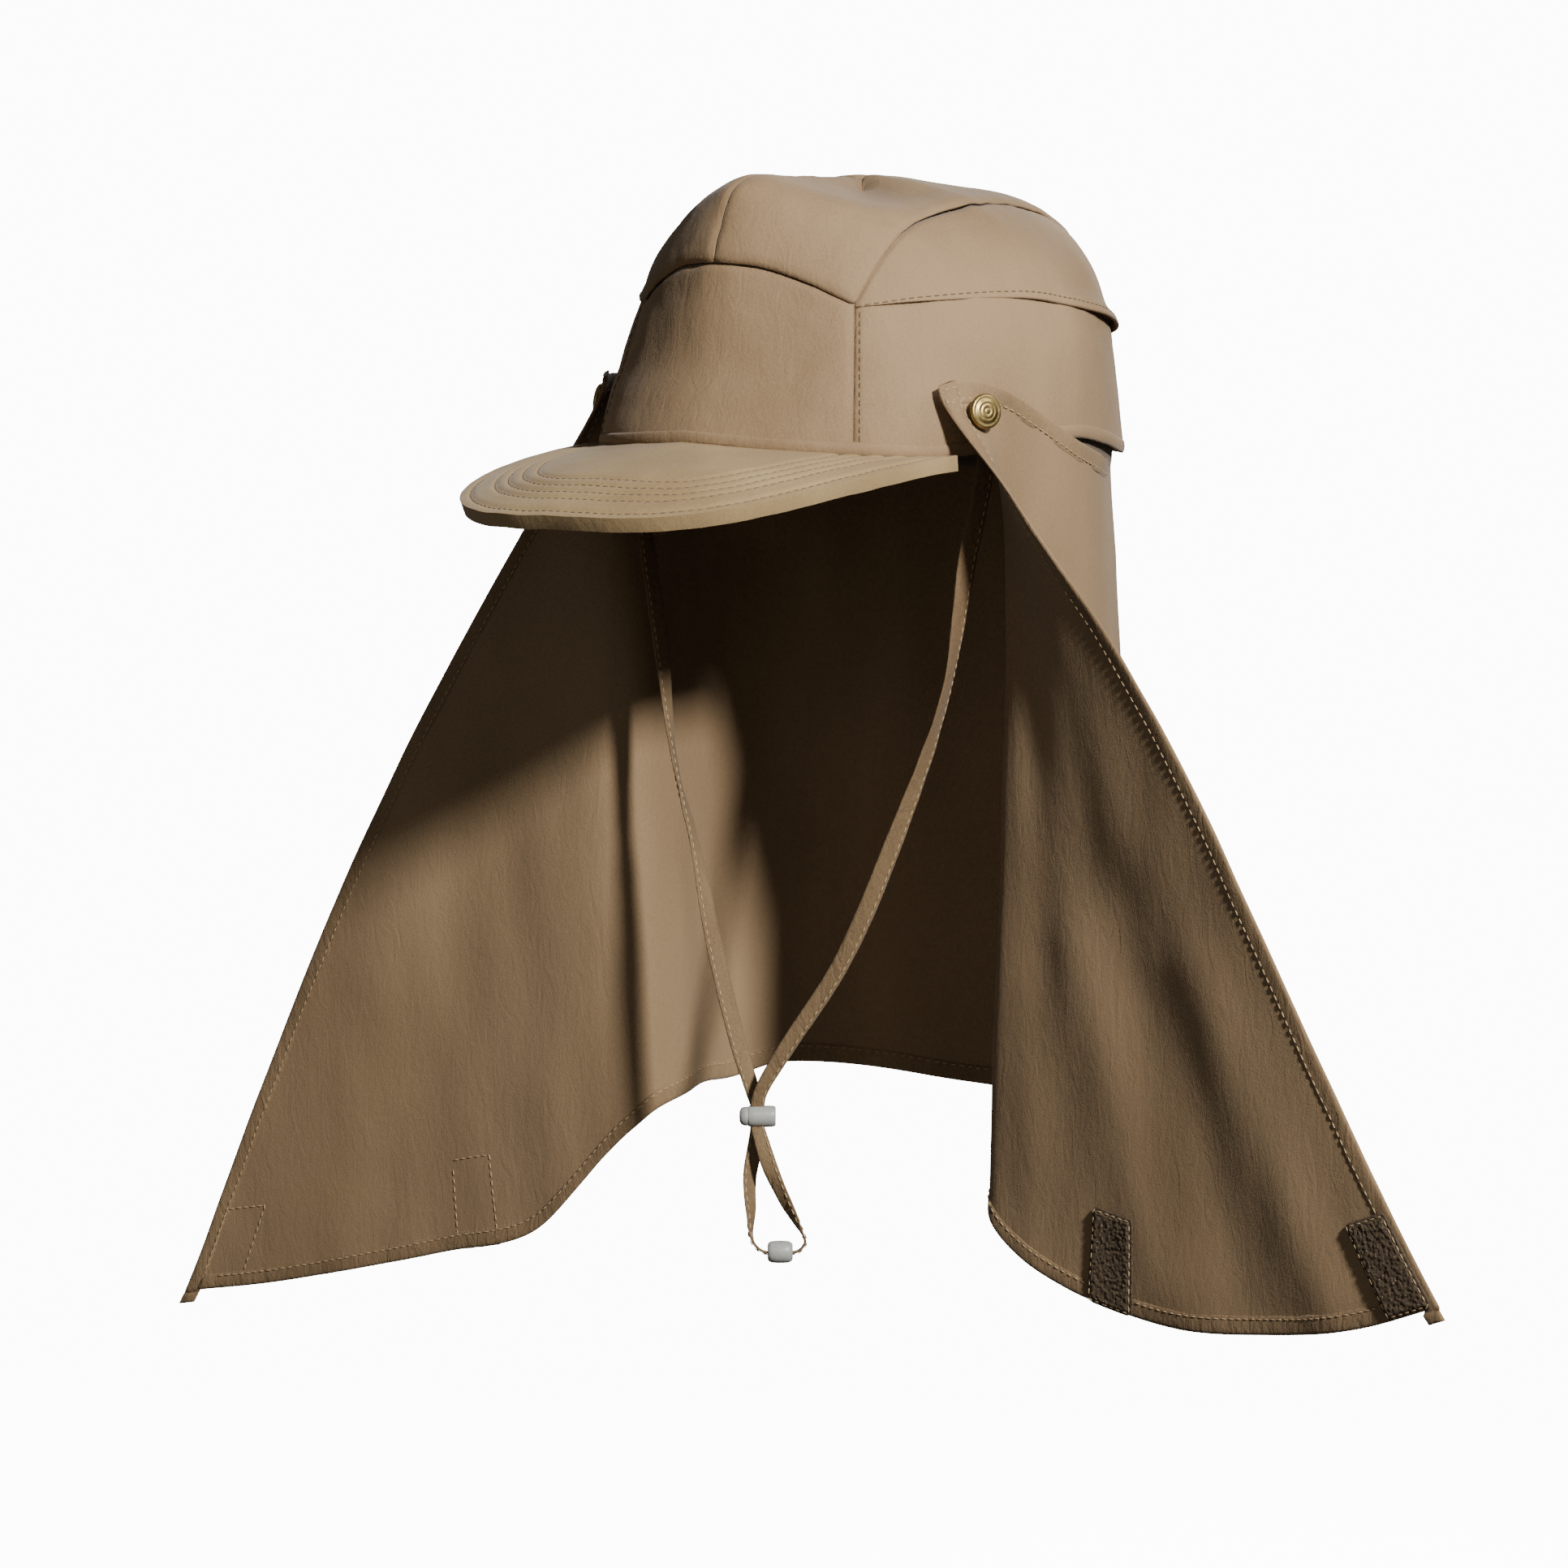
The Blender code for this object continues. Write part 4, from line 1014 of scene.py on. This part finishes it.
def top_strip(side):
    end = 0.40

    def place(around, along):
        share, rise = folded_section(around)
        run = end * along
        at = run if side > 0 else 1 - run
        down = from_top(at, TOP_BAND_WIDTH * share) + 0.0 * at
        return cloth_at(at, down, puckered(flap_at(at, down), share, rise, 29.0) * 0.9)

    return place


borders = [
    new_piece(
        "flap_front_left", lay_strip(edge_strip(1), 16, 300), binding_nylon, "flap_cloth", "flap_edge_left"),
    new_piece(
        "flap_front_right", lay_strip(edge_strip(-1), 16, 300), binding_nylon, "flap_cloth",
        "flap_edge_right"),
    new_piece("flap_bottom_hem", lay_strip(hem_strip, 14, 520), binding_nylon, "flap_cloth", "flap_hem"),
    new_piece("flap_top_left", lay_strip(top_strip(1), 14, 160), binding_nylon, "flap_cloth"),
    new_piece("flap_top_right", lay_strip(top_strip(-1), 14, 160), binding_nylon, "flap_cloth"),
]
print("Folded borders:", len(borders))

# %% [markdown]
# ## Closures
#
# Two strips of loop tape are sewn inside the left wing and two of hook tape outside the right wing, so that
# the flap can close under the chin. Each is a rounded rectangle of pile, thick in the middle, with its
# edges pressed down by stitches.

# %% Tapes
PATCH_WIDTH = 0.0212
PATCH_HEIGHT = 0.0370
PATCH_CORNER = 0.0034
PATCH_PLACES = (
    # name, side, how far along the hem it starts as a share of the flap's reach, lean
    ("loop_patch_front", 1, 0.005, 0.00),
    ("loop_patch_rear", 1, 0.492, -0.27),
    ("hook_patch_front", -1, 0.018, 0.00),
    ("hook_patch_rear", -1, 0.440, -0.27),
)


def share_at(line, distance, most):
    shares = np.linspace(0.0, most, 120)
    points = line(shares)
    return float(np.interp(distance, np.linalg.norm(points - points[0], axis=-1), shares))


def patch_frame(side, start, lean):
    """Where a tape starts along the hem, and its width, height and lean as shares of the flap."""
    def wing(part, v):
        return flap_at(part if side > 0 else 1 - part, v)

    at = share_at(lambda part: wing(part, 1.0), FLAP_REACH * start, 0.5)
    wide = share_at(lambda part: wing(at + part, 1.0), PATCH_WIDTH, 0.2)
    low = share_at(lambda part: wing(at, 1 - part), PATCH_HEIGHT, 0.5)
    return at, wide, low, wide * lean * PATCH_HEIGHT / PATCH_WIDTH


def patch_spot(side, frame_of, x, y, outward):
    """A point of a tape: x across and y up from 0 to 1, this far out from the middle of the flap."""
    at, wide, low, shift = frame_of
    across = at + wide * x + shift * (1 - y)
    return cloth_at(across if side > 0 else 1 - across, 1 - low * (1 - y), -side * outward)


def rounded(u, v):
    """Pull a square's corners in to a rounded rectangle of a tape's proportions."""
    x, y = (u - 0.5) * PATCH_WIDTH, (v - 0.5) * PATCH_HEIGHT
    inner_x, inner_y = PATCH_WIDTH / 2 - PATCH_CORNER, PATCH_HEIGHT / 2 - PATCH_CORNER
    over_x = np.maximum(np.abs(x) - inner_x, 0.0) / PATCH_CORNER
    over_y = np.maximum(np.abs(y) - inner_y, 0.0) / PATCH_CORNER
    reach = np.maximum(np.hypot(over_x, over_y), 1e-9)
    most = np.maximum(over_x, over_y)
    pull = np.where(reach > 0, most / reach, 1.0)
    x = np.sign(x) * (np.minimum(np.abs(x), inner_x) + over_x * pull * PATCH_CORNER)
    y = np.sign(y) * (np.minimum(np.abs(y), inner_y) + over_y * pull * PATCH_CORNER)
    return x / PATCH_WIDTH + 0.5, y / PATCH_HEIGHT + 0.5


for patch_name, side, start, lean in PATCH_PLACES:
    held = patch_frame(side, start, lean)
    is_loop = side > 0

    def patch_place(u, v, side=side, held=held, is_loop=is_loop):
        x, y = rounded(u, v)
        inside = np.minimum(np.minimum(x, 1 - x) * PATCH_WIDTH, np.minimum(y, 1 - y) * PATCH_HEIGHT)
        edge = np.clip(inside / 0.0022, 0.0, 1.0)
        pile = 0.0012 if is_loop else 0.0009
        base = patch_spot(side, held, x, y, FOLD_THICKNESS / 2 + 0.0004)
        tufts = 0.5 + 0.5 * soft_noise(base, 0.0011 if is_loop else 0.0016, (1, 1, 1), 41.0)
        lift = 0.0003 + pile * edge * (0.45 + 0.75 * tufts) - 0.0004 * (edge > 0.4) * (edge < 0.8)
        return patch_spot(side, held, x, y, FOLD_THICKNESS / 2 + 0.0004 + lift)

    finish = loop_tape if is_loop else hook_tape
    tape = new_piece(patch_name + "_pile", lay_grid(patch_place, 56, 96), finish, "hook_and_loop", patch_name)
    add_wall(tape, 0.0009, 1 if side < 0 else -1)

# %% [markdown]
# ## Snaps
#
# A snap holds the front corner of the flap to the crown on each side. Its cap is a spun brass dome with a
# rolled rim and plain rings pressed into it. It is a profile turned about its own axis by one full spin.

# %% Snap caps
SNAP_TURN = 67.3
SNAP_RISE = 0.0138
SNAP_RADIUS = 0.0062
SNAP_PROFILE = (
    # radius and height in millimetres, from the middle of the cap to its rolled rim and back under
    (0.0, 2.35), (0.9, 2.35), (1.15, 2.20), (1.4, 2.35), (2.5, 2.30), (2.75, 2.10), (3.0, 2.25),
    (3.9, 2.10), (4.3, 1.75), (4.7, 1.70), (5.2, 1.80), (5.7, 1.70), (6.05, 1.30), (6.2, 0.80),
    (6.05, 0.30), (5.6, 0.0), (2.0, 0.0), (2.0, -4.6), (4.5, -4.6), (4.5, -5.6), (0.0, -5.6),
)


def turned(profile, place, axis, steps):
    """Spin a profile of radius and height in millimetres round an axis through a place."""
    shape = bmesh.new()
    verts = [shape.verts.new((radius / 1000, 0.0, height / 1000)) for radius, height in profile]
    edges = [shape.edges.new(pair) for pair in zip(verts, verts[1:])]
    bmesh.ops.spin(
        shape, geom=verts + edges, axis=(0, 0, 1), cent=(0, 0, 0), angle=math.tau, steps=steps,
        use_merge=True)
    bmesh.ops.remove_doubles(shape, verts=shape.verts, dist=1e-6)
    bmesh.ops.recalc_face_normals(shape, faces=shape.faces)
    turn = axis.to_track_quat("Z", "Y").to_matrix().to_4x4()
    bmesh.ops.transform(shape, matrix=Matrix.Translation(place) @ turn, verts=shape.verts)
    return shape


def snap_frame(side):
    """Where a snap sits on the crown, and the direction out of the crown there."""
    spot = crown_at(SNAP_TURN, SNAP_RISE)
    around = crown_at(SNAP_TURN + 1, SNAP_RISE) - crown_at(SNAP_TURN - 1, SNAP_RISE)
    upward = crown_at(SNAP_TURN, SNAP_RISE + 0.0016) - crown_at(SNAP_TURN, SNAP_RISE - 0.0016)
    out = unit(np.cross(around, upward))
    flip = np.array([side, 1.0, 1.0])
    return spot * flip, out * flip


def flap_reach(side):
    """How far out of the crown's face the flap comes under the snap's cap."""
    spot, out = snap_frame(side)
    u, v = np.meshgrid(np.linspace(0.0, 0.25, 60), np.linspace(0.0, 0.10, 20))
    u = u.ravel() if side > 0 else 1 - u.ravel()
    away = cloth_at(u, v.ravel(), FOLD_THICKNESS / 2) - spot
    reach = away @ out
    under = np.linalg.norm(away - reach[:, None] * out, axis=-1) < SNAP_RADIUS
    return float(reach[under].max())


for side, label in ((1, "left"), (-1, "right")):
    spot, out = snap_frame(side)
    base = flap_reach(side) + 0.0002
    new_piece(
        f"snap_cap_{label}", turned(SNAP_PROFILE, Vector(spot + out * base), Vector(out), 64),
        brass, "snap_brass", f"snap_{label}")
    print("Snap", label, "stands", round(base * 1000, 2), "mm out of the crown")

# %% [markdown]
# ## Chin strap
#
# The strap is a ribbon of folded nylon, 8 mm wide. It leaves the rim in front of each snap, both ends meet
# in the cord lock below the chin, and the loop under the lock carries a bead. It hangs freely, so its route
# is a short list of points taken from the solid, with the turn of the ribbon at each one.

# %% Strap route
STRAP_WIDTH = 0.0080
STRAP_THICKNESS = 0.0012
STRAP_ROUTE = (
    # x, y, z, turned, width
    (0.0786, -0.0300, 0.0060, 76, 1.00),
    (0.0779, -0.0312, -0.0080, 76, 1.00),
    (0.0745, -0.0355, -0.0350, 70, 0.95),
    (0.0676, -0.0400, -0.0850, 100, 0.90),
    (0.0507, -0.0460, -0.1350, 60, 0.85),
    (0.0320, -0.0530, -0.1800, 20, 0.78),
    (0.0095, -0.0595, -0.2150, 30, 0.70),
    (0.0020, -0.0612, -0.2280, 38, 0.62),
    (0.0005, -0.0607, -0.2330, 38, 0.62),
    (0.0005, -0.0607, -0.2390, 38, 0.62),
    (0.0030, -0.0612, -0.2450, 38, 0.66),
    (0.0062, -0.0605, -0.2540, 25, 0.72),
    (0.0105, -0.0580, -0.2650, 0, 0.72),
    (0.0145, -0.0555, -0.2740, -25, 0.68),
    (0.0164, -0.0537, -0.2806, -52, 0.58),
    (0.0137, -0.0548, -0.2837, -52, 0.56),
    (0.0090, -0.0585, -0.2838, -52, 0.56),
    (0.0043, -0.0622, -0.2837, -52, 0.56),
    (0.0009, -0.0637, -0.2804, -58, 0.58),
    (-0.0015, -0.0620, -0.2700, -85, 0.70),
    (-0.0035, -0.0600, -0.2580, -115, 0.72),
    (-0.0020, -0.0590, -0.2470, -135, 0.66),
    (-0.0005, -0.0593, -0.2390, -142, 0.62),
    (-0.0005, -0.0593, -0.2330, -142, 0.62),
    (-0.0035, -0.0585, -0.2270, -142, 0.66),
    (-0.0116, -0.0560, -0.2120, -130, 0.76),
    (-0.0273, -0.0510, -0.1750, -110, 0.85),
    (-0.0379, -0.0475, -0.1436, -80, 0.88),
    (-0.0514, -0.0430, -0.1120, -60, 0.92),
    (-0.0597, -0.0400, -0.0715, -100, 0.95),
    (-0.0710, -0.0355, -0.0300, -90, 1.00),
    (-0.0779, -0.0312, -0.0080, -76, 1.00),
    (-0.0786, -0.0300, 0.0060, -76, 1.00),
)
ROUTE = np.array(STRAP_ROUTE, dtype=float)
ROUTE_SPANS = np.linalg.norm(np.diff(ROUTE[:, :3], axis=0), axis=1)
ROUTE_KEYS = np.concatenate([[0.0], np.cumsum(ROUTE_SPANS)]) / ROUTE_SPANS.sum()


def strap_frame(share):
    """Centre, direction across, direction out and width of the strap at each share of its length."""
    row = smooth(ROUTE_KEYS, ROUTE, share)
    step = 0.004
    ahead = smooth(ROUTE_KEYS, ROUTE, np.minimum(share + step, 1.0))[:, :3]
    behind = smooth(ROUTE_KEYS, ROUTE, np.maximum(share - step, 0.0))[:, :3]
    along = unit(ahead - behind)
    turned_by = np.radians(row[:, 3])
    across = np.stack([np.cos(turned_by), np.sin(turned_by), 0.0 * turned_by], axis=-1)
    across = unit(across - along * (across * along).sum(-1, keepdims=True))
    return row[:, :3], across, np.cross(along, across), row[:, 4] * STRAP_WIDTH


def strap_place(around, along):
    centre, across, out, width = strap_frame(along)
    swing = 2 * math.pi * around
    side = -np.cos(swing)
    rise = np.sign(np.sin(swing)) * np.abs(np.sin(swing)) ** 0.5
    # The folded edges are thicker than the middle, and the ribbon wavers a little along its run
    thick = STRAP_THICKNESS / 2 * (0.72 + 0.28 * side**2)
    waver = 0.0005 * soft_noise(centre, 0.012, (1, 1, 1), 51.0) * side
    return centre + across * (side * width / 2)[:, None] + out * (rise * thick + waver)[:, None]


strap_line, _, _, _ = strap_frame(np.linspace(0.0, 1.0, 260))
strap_length = float(np.linalg.norm(np.diff(strap_line, axis=0), axis=1).sum())
strap = new_piece(
    "chin_strap_ribbon", lay_strip(strap_place, 14, 460, (0.017, strap_length)), strap_nylon,
    "strap_cloth", "chin_strap")
print("Strap:", round(strap_length, 4), "m")

# %% [markdown]
# ## Cord lock and bead
#
# The lock is a small barrel of moulded plastic across the strap, with a domed button at one end and a
# dished mouth at the other. The bead keeps the loop's end from slipping out. Both are turned profiles.

# %% Lock and bead
PLASTIC_TURNED = math.radians(38)
PLASTIC_AXIS = Vector((math.cos(PLASTIC_TURNED), math.sin(PLASTIC_TURNED), 0.0))
LOCK_PLACE = Vector((0.0, -0.0600, -0.2360))
BEAD_PLACE = Vector((0.0090, -0.0585, -0.2838))
LOCK_PROFILE = (
    (0.0, -6.5), (1.8, -6.4), (2.9, -5.8), (3.35, -4.9), (3.45, -4.0), (3.45, -3.7), (3.30, -3.55),
    (3.30, -3.35), (3.55, -3.2), (3.75, -2.8), (3.8, -1.0), (3.8, 4.6), (3.7, 5.7), (3.45, 6.3),
    (3.0, 6.5), (2.6, 6.2), (2.3, 5.4), (1.2, 4.9), (0.0, 4.8),
)
BEAD_PROFILE = (
    (0.0, -3.4), (1.4, -3.5), (1.8, -4.2), (2.4, -4.5), (3.3, -4.1), (3.85, -3.0), (4.0, -1.2),
    (4.0, 1.2), (3.85, 3.0), (3.3, 4.1), (2.4, 4.5), (1.8, 4.2), (1.4, 3.5), (0.0, 3.4),
)
lock = new_piece(
    "lock_barrel", turned(LOCK_PROFILE, LOCK_PLACE, PLASTIC_AXIS, 48), acetal, "grey_plastic", "cord_lock")
bead = new_piece(
    "loop_bead", turned(BEAD_PROFILE, BEAD_PLACE, PLASTIC_AXIS, 48), acetal, "grey_plastic", "strap_bead")
print("Lock and bead turned")

# %% [markdown]
# ## Stitches
#
# Rows of stitches are what make the cloth look sewn. Each stitch is a tiny sphere from bmesh drawn out to
# the length of a stitch and sunk a little into the cloth, so its ends seem to go down into the needle
# holes. A row needs only a line of points and the direction out of the cloth along it.

# %% Sewing helper
STITCH_LENGTH = 0.0023
STITCH_GAP = 0.0009
THREAD_WIDTH = 0.00055
BATCH = 40


def stitch_places(points, outward):
    """The place, turn and size of each stitch along a line of points on a surface, as matrices."""
    run = np.concatenate([[0.0], np.cumsum(np.linalg.norm(np.diff(points, axis=0), axis=1))])
    pitch = STITCH_LENGTH + STITCH_GAP
    count = int(run[-1] / pitch)

    def read(rows, at):
        return np.column_stack([np.interp(at, run, rows[:, axis]) for axis in range(3)])

    middles = (np.arange(count) + 0.5) * pitch
    ends = read(points, middles + STITCH_LENGTH / 2) - read(points, middles - STITCH_LENGTH / 2)
    outs = read(outward, middles)
    places = []
    for middle, end, out in zip(read(points, middles), ends, outs):
        along = Vector(end).normalized()
        out = Vector(out)
        out = (out - along * out.dot(along)).normalized()
        across = out.cross(along)
        axes = Matrix((across * THREAD_WIDTH / 2, out * THREAD_WIDTH * 0.45, along * STITCH_LENGTH / 2))
        sunk = Matrix.Translation(Vector(middle) + out * THREAD_WIDTH * 0.12)
        places.append(sunk @ axes.transposed().to_4x4())
    return places


def sew_all(name, rows, thread, slot):
    """One piece for many rows, each a line of points and its outward directions."""
    places = [place for points, outward in rows for place in stitch_places(points, outward)]
    joined = bmesh.new()
    # A bmesh slows down as it grows, so the stitches are made a few at a time and then joined
    for start in range(0, len(places), BATCH):
        few = bmesh.new()
        for place in places[start:start + BATCH]:
            bmesh.ops.create_uvsphere(few, u_segments=6, v_segments=4, radius=1.0, matrix=place)
        batch = bpy.data.meshes.new("batch")
        few.to_mesh(batch)
        few.free()
        joined.from_mesh(batch)
        bpy.data.meshes.remove(batch)
    print(name, len(places), "stitches")
    return new_piece(name, joined, thread, slot)


# %% Stitches on the crown
def crown_row(place, u, v):
    """A row across a panel's own place function, so it follows the panel's dips and dents."""
    u, v = np.broadcast_arrays(np.asarray(u, dtype=float), np.asarray(v, dtype=float))
    points = place(u.ravel(), v.ravel())
    return points, unit(points - CROWN_CENTRE)


share = np.linspace(0.0, 1.0, 220)
MARGIN = 0.0021
crown_rows = []
for side in (1, -1):
    band, upper, top = (mirrored(place, side) for place in (band_place, side_place, top_place))
    turn_margin = MARGIN / 0.21
    crown_rows += [
        # The front corner seam, the yoke seam, the upper panel's lower edge and the seam on top
        crown_row(band, turn_margin if side > 0 else 1 - turn_margin, share * 0.97),
        crown_row(top, share, MARGIN / 0.21),
        crown_row(upper, share, 0.058),
        crown_row(top, 1 - 0.042 if side > 0 else 0.042, share),
        crown_row(top, 0.042 if side > 0 else 1 - 0.042, share),
    ]
# The crown's stitches use the dark thread, which carries painted shade of the stitch holes and grooves.
crown_thread = sew_all("crown_stitches", crown_rows, seam_shade_thread, "crown_cloth")

# %% Stitches on the peak
peak_rows = []
peak_u = 0.5 - 0.5 * np.cos(np.linspace(0.02, math.pi - 0.02, 260))
peak_v = np.linspace(1.0, 0.0, 90)
peak_grid_u, peak_grid_v = np.meshgrid(peak_u, peak_v, indexing="ij")
peak_points = peak_smooth(peak_grid_u.ravel(), peak_grid_v.ravel())
peak_distance = np.concatenate(
    [from_outline(chunk) for chunk in np.array_split(peak_points, 40)]).reshape(peak_grid_u.shape)
for row in PEAK_ROWS:
    reached = peak_distance.max(axis=1) > row
    at_v = np.array([np.interp(row, line, peak_v) for line in peak_distance[reached]])
    points = peak_place(peak_u[reached], at_v)
    upright = np.tile(np.array([0.0, 0.0, 1.0]), (len(points), 1))
    peak_rows.append((points, upright))
peak_thread = sew_all("peak_stitches", peak_rows, seam_shade_thread, "peak_cloth")


# %% Stitches on the flap
def flap_row(u, v, face, lift):
    """A row on one face of the flap: 1 is its outer face and -1 its inner one."""
    u, v = np.broadcast_arrays(np.asarray(u, dtype=float), np.asarray(v, dtype=float))
    u, v = u.ravel(), v.ravel()
    return cloth_at(u, v, face * lift), flap_outward(u, v) * face


SEW_IN = FLAP_HEM * 0.80
down = np.linspace(0.01, 0.985, 300)
round_hem = np.linspace(0.012, 0.988, 900)
flap_rows = []
for face in (1, -1):
    lift = FOLD_THICKNESS / 2 * 0.72
    flap_rows += [
        flap_row(from_left(down, SEW_IN), down, face, lift),
        flap_row(from_right(down, SEW_IN), down, face, lift),
        flap_row(round_hem, from_bottom(round_hem, SEW_IN), face, lift),
        flap_row(np.linspace(0.0, 0.38, 160), from_top(np.linspace(0.0, 0.38, 160), SEW_IN), face, lift),
        flap_row(np.linspace(0.62, 1.0, 160), from_top(np.linspace(0.62, 1.0, 160), SEW_IN), face, lift),
    ]
# A boxed tack in each front top corner, where the snap's load goes into the cloth
box_keys = np.linspace(0, 4, 60)
box_in = np.interp(box_keys, [0, 1, 2, 3, 4], [0.0012, 0.0068, 0.0068, 0.0012, 0.0012])
box_down = np.interp(box_keys, [0, 1, 2, 3, 4], [0.0012, 0.0012, 0.0066, 0.0066, 0.0012])
for border in (from_left, from_right):
    box_v = from_top(0.0 if border is from_left else 1.0, box_down)
    flap_rows.append(flap_row(border(box_v, box_in), box_v, 1, FOLD_THICKNESS / 2))
flap_thread = sew_all("flap_stitches", flap_rows, pale_thread, "flap_cloth")

# %% Stitches round the tapes and along the strap
patch_rows = []
side_keys = np.array([0.0, 1.0, 2.0, 3.0, 4.0])
loop_x = np.interp(np.linspace(0, 4, 160), side_keys, [0.06, 0.94, 0.94, 0.06, 0.06])
loop_y = np.interp(np.linspace(0, 4, 160), side_keys, [0.035, 0.035, 0.965, 0.965, 0.035])
for _, side, start, lean in PATCH_PLACES:
    held = patch_frame(side, start, lean)
    # On the tape's own face, and on the bare face behind it, where only the thread shows
    for face, lift in ((1, FOLD_THICKNESS / 2 + 0.0013), (-1, FLAP_CLOTH / 2 + 0.0001)):
        points = patch_spot(side, held, loop_x, loop_y, face * lift)
        beyond = patch_spot(side, held, loop_x, loop_y, face * (lift + 0.001))
        patch_rows.append((points, unit(beyond - points)))
patch_thread = sew_all("tape_stitches", patch_rows, pale_thread, "flap_cloth")

strap_rows = []
strap_share = np.linspace(0.0, 1.0, 700)
centre, across, out, width = strap_frame(strap_share)
for face in (1, -1):
    points = centre + across * (width * 0.32)[:, None] + out * (face * STRAP_THICKNESS * 0.40)
    strap_rows.append((points, out * face))
strap_thread = sew_all("strap_stitches", strap_rows, pale_thread, "strap_cloth")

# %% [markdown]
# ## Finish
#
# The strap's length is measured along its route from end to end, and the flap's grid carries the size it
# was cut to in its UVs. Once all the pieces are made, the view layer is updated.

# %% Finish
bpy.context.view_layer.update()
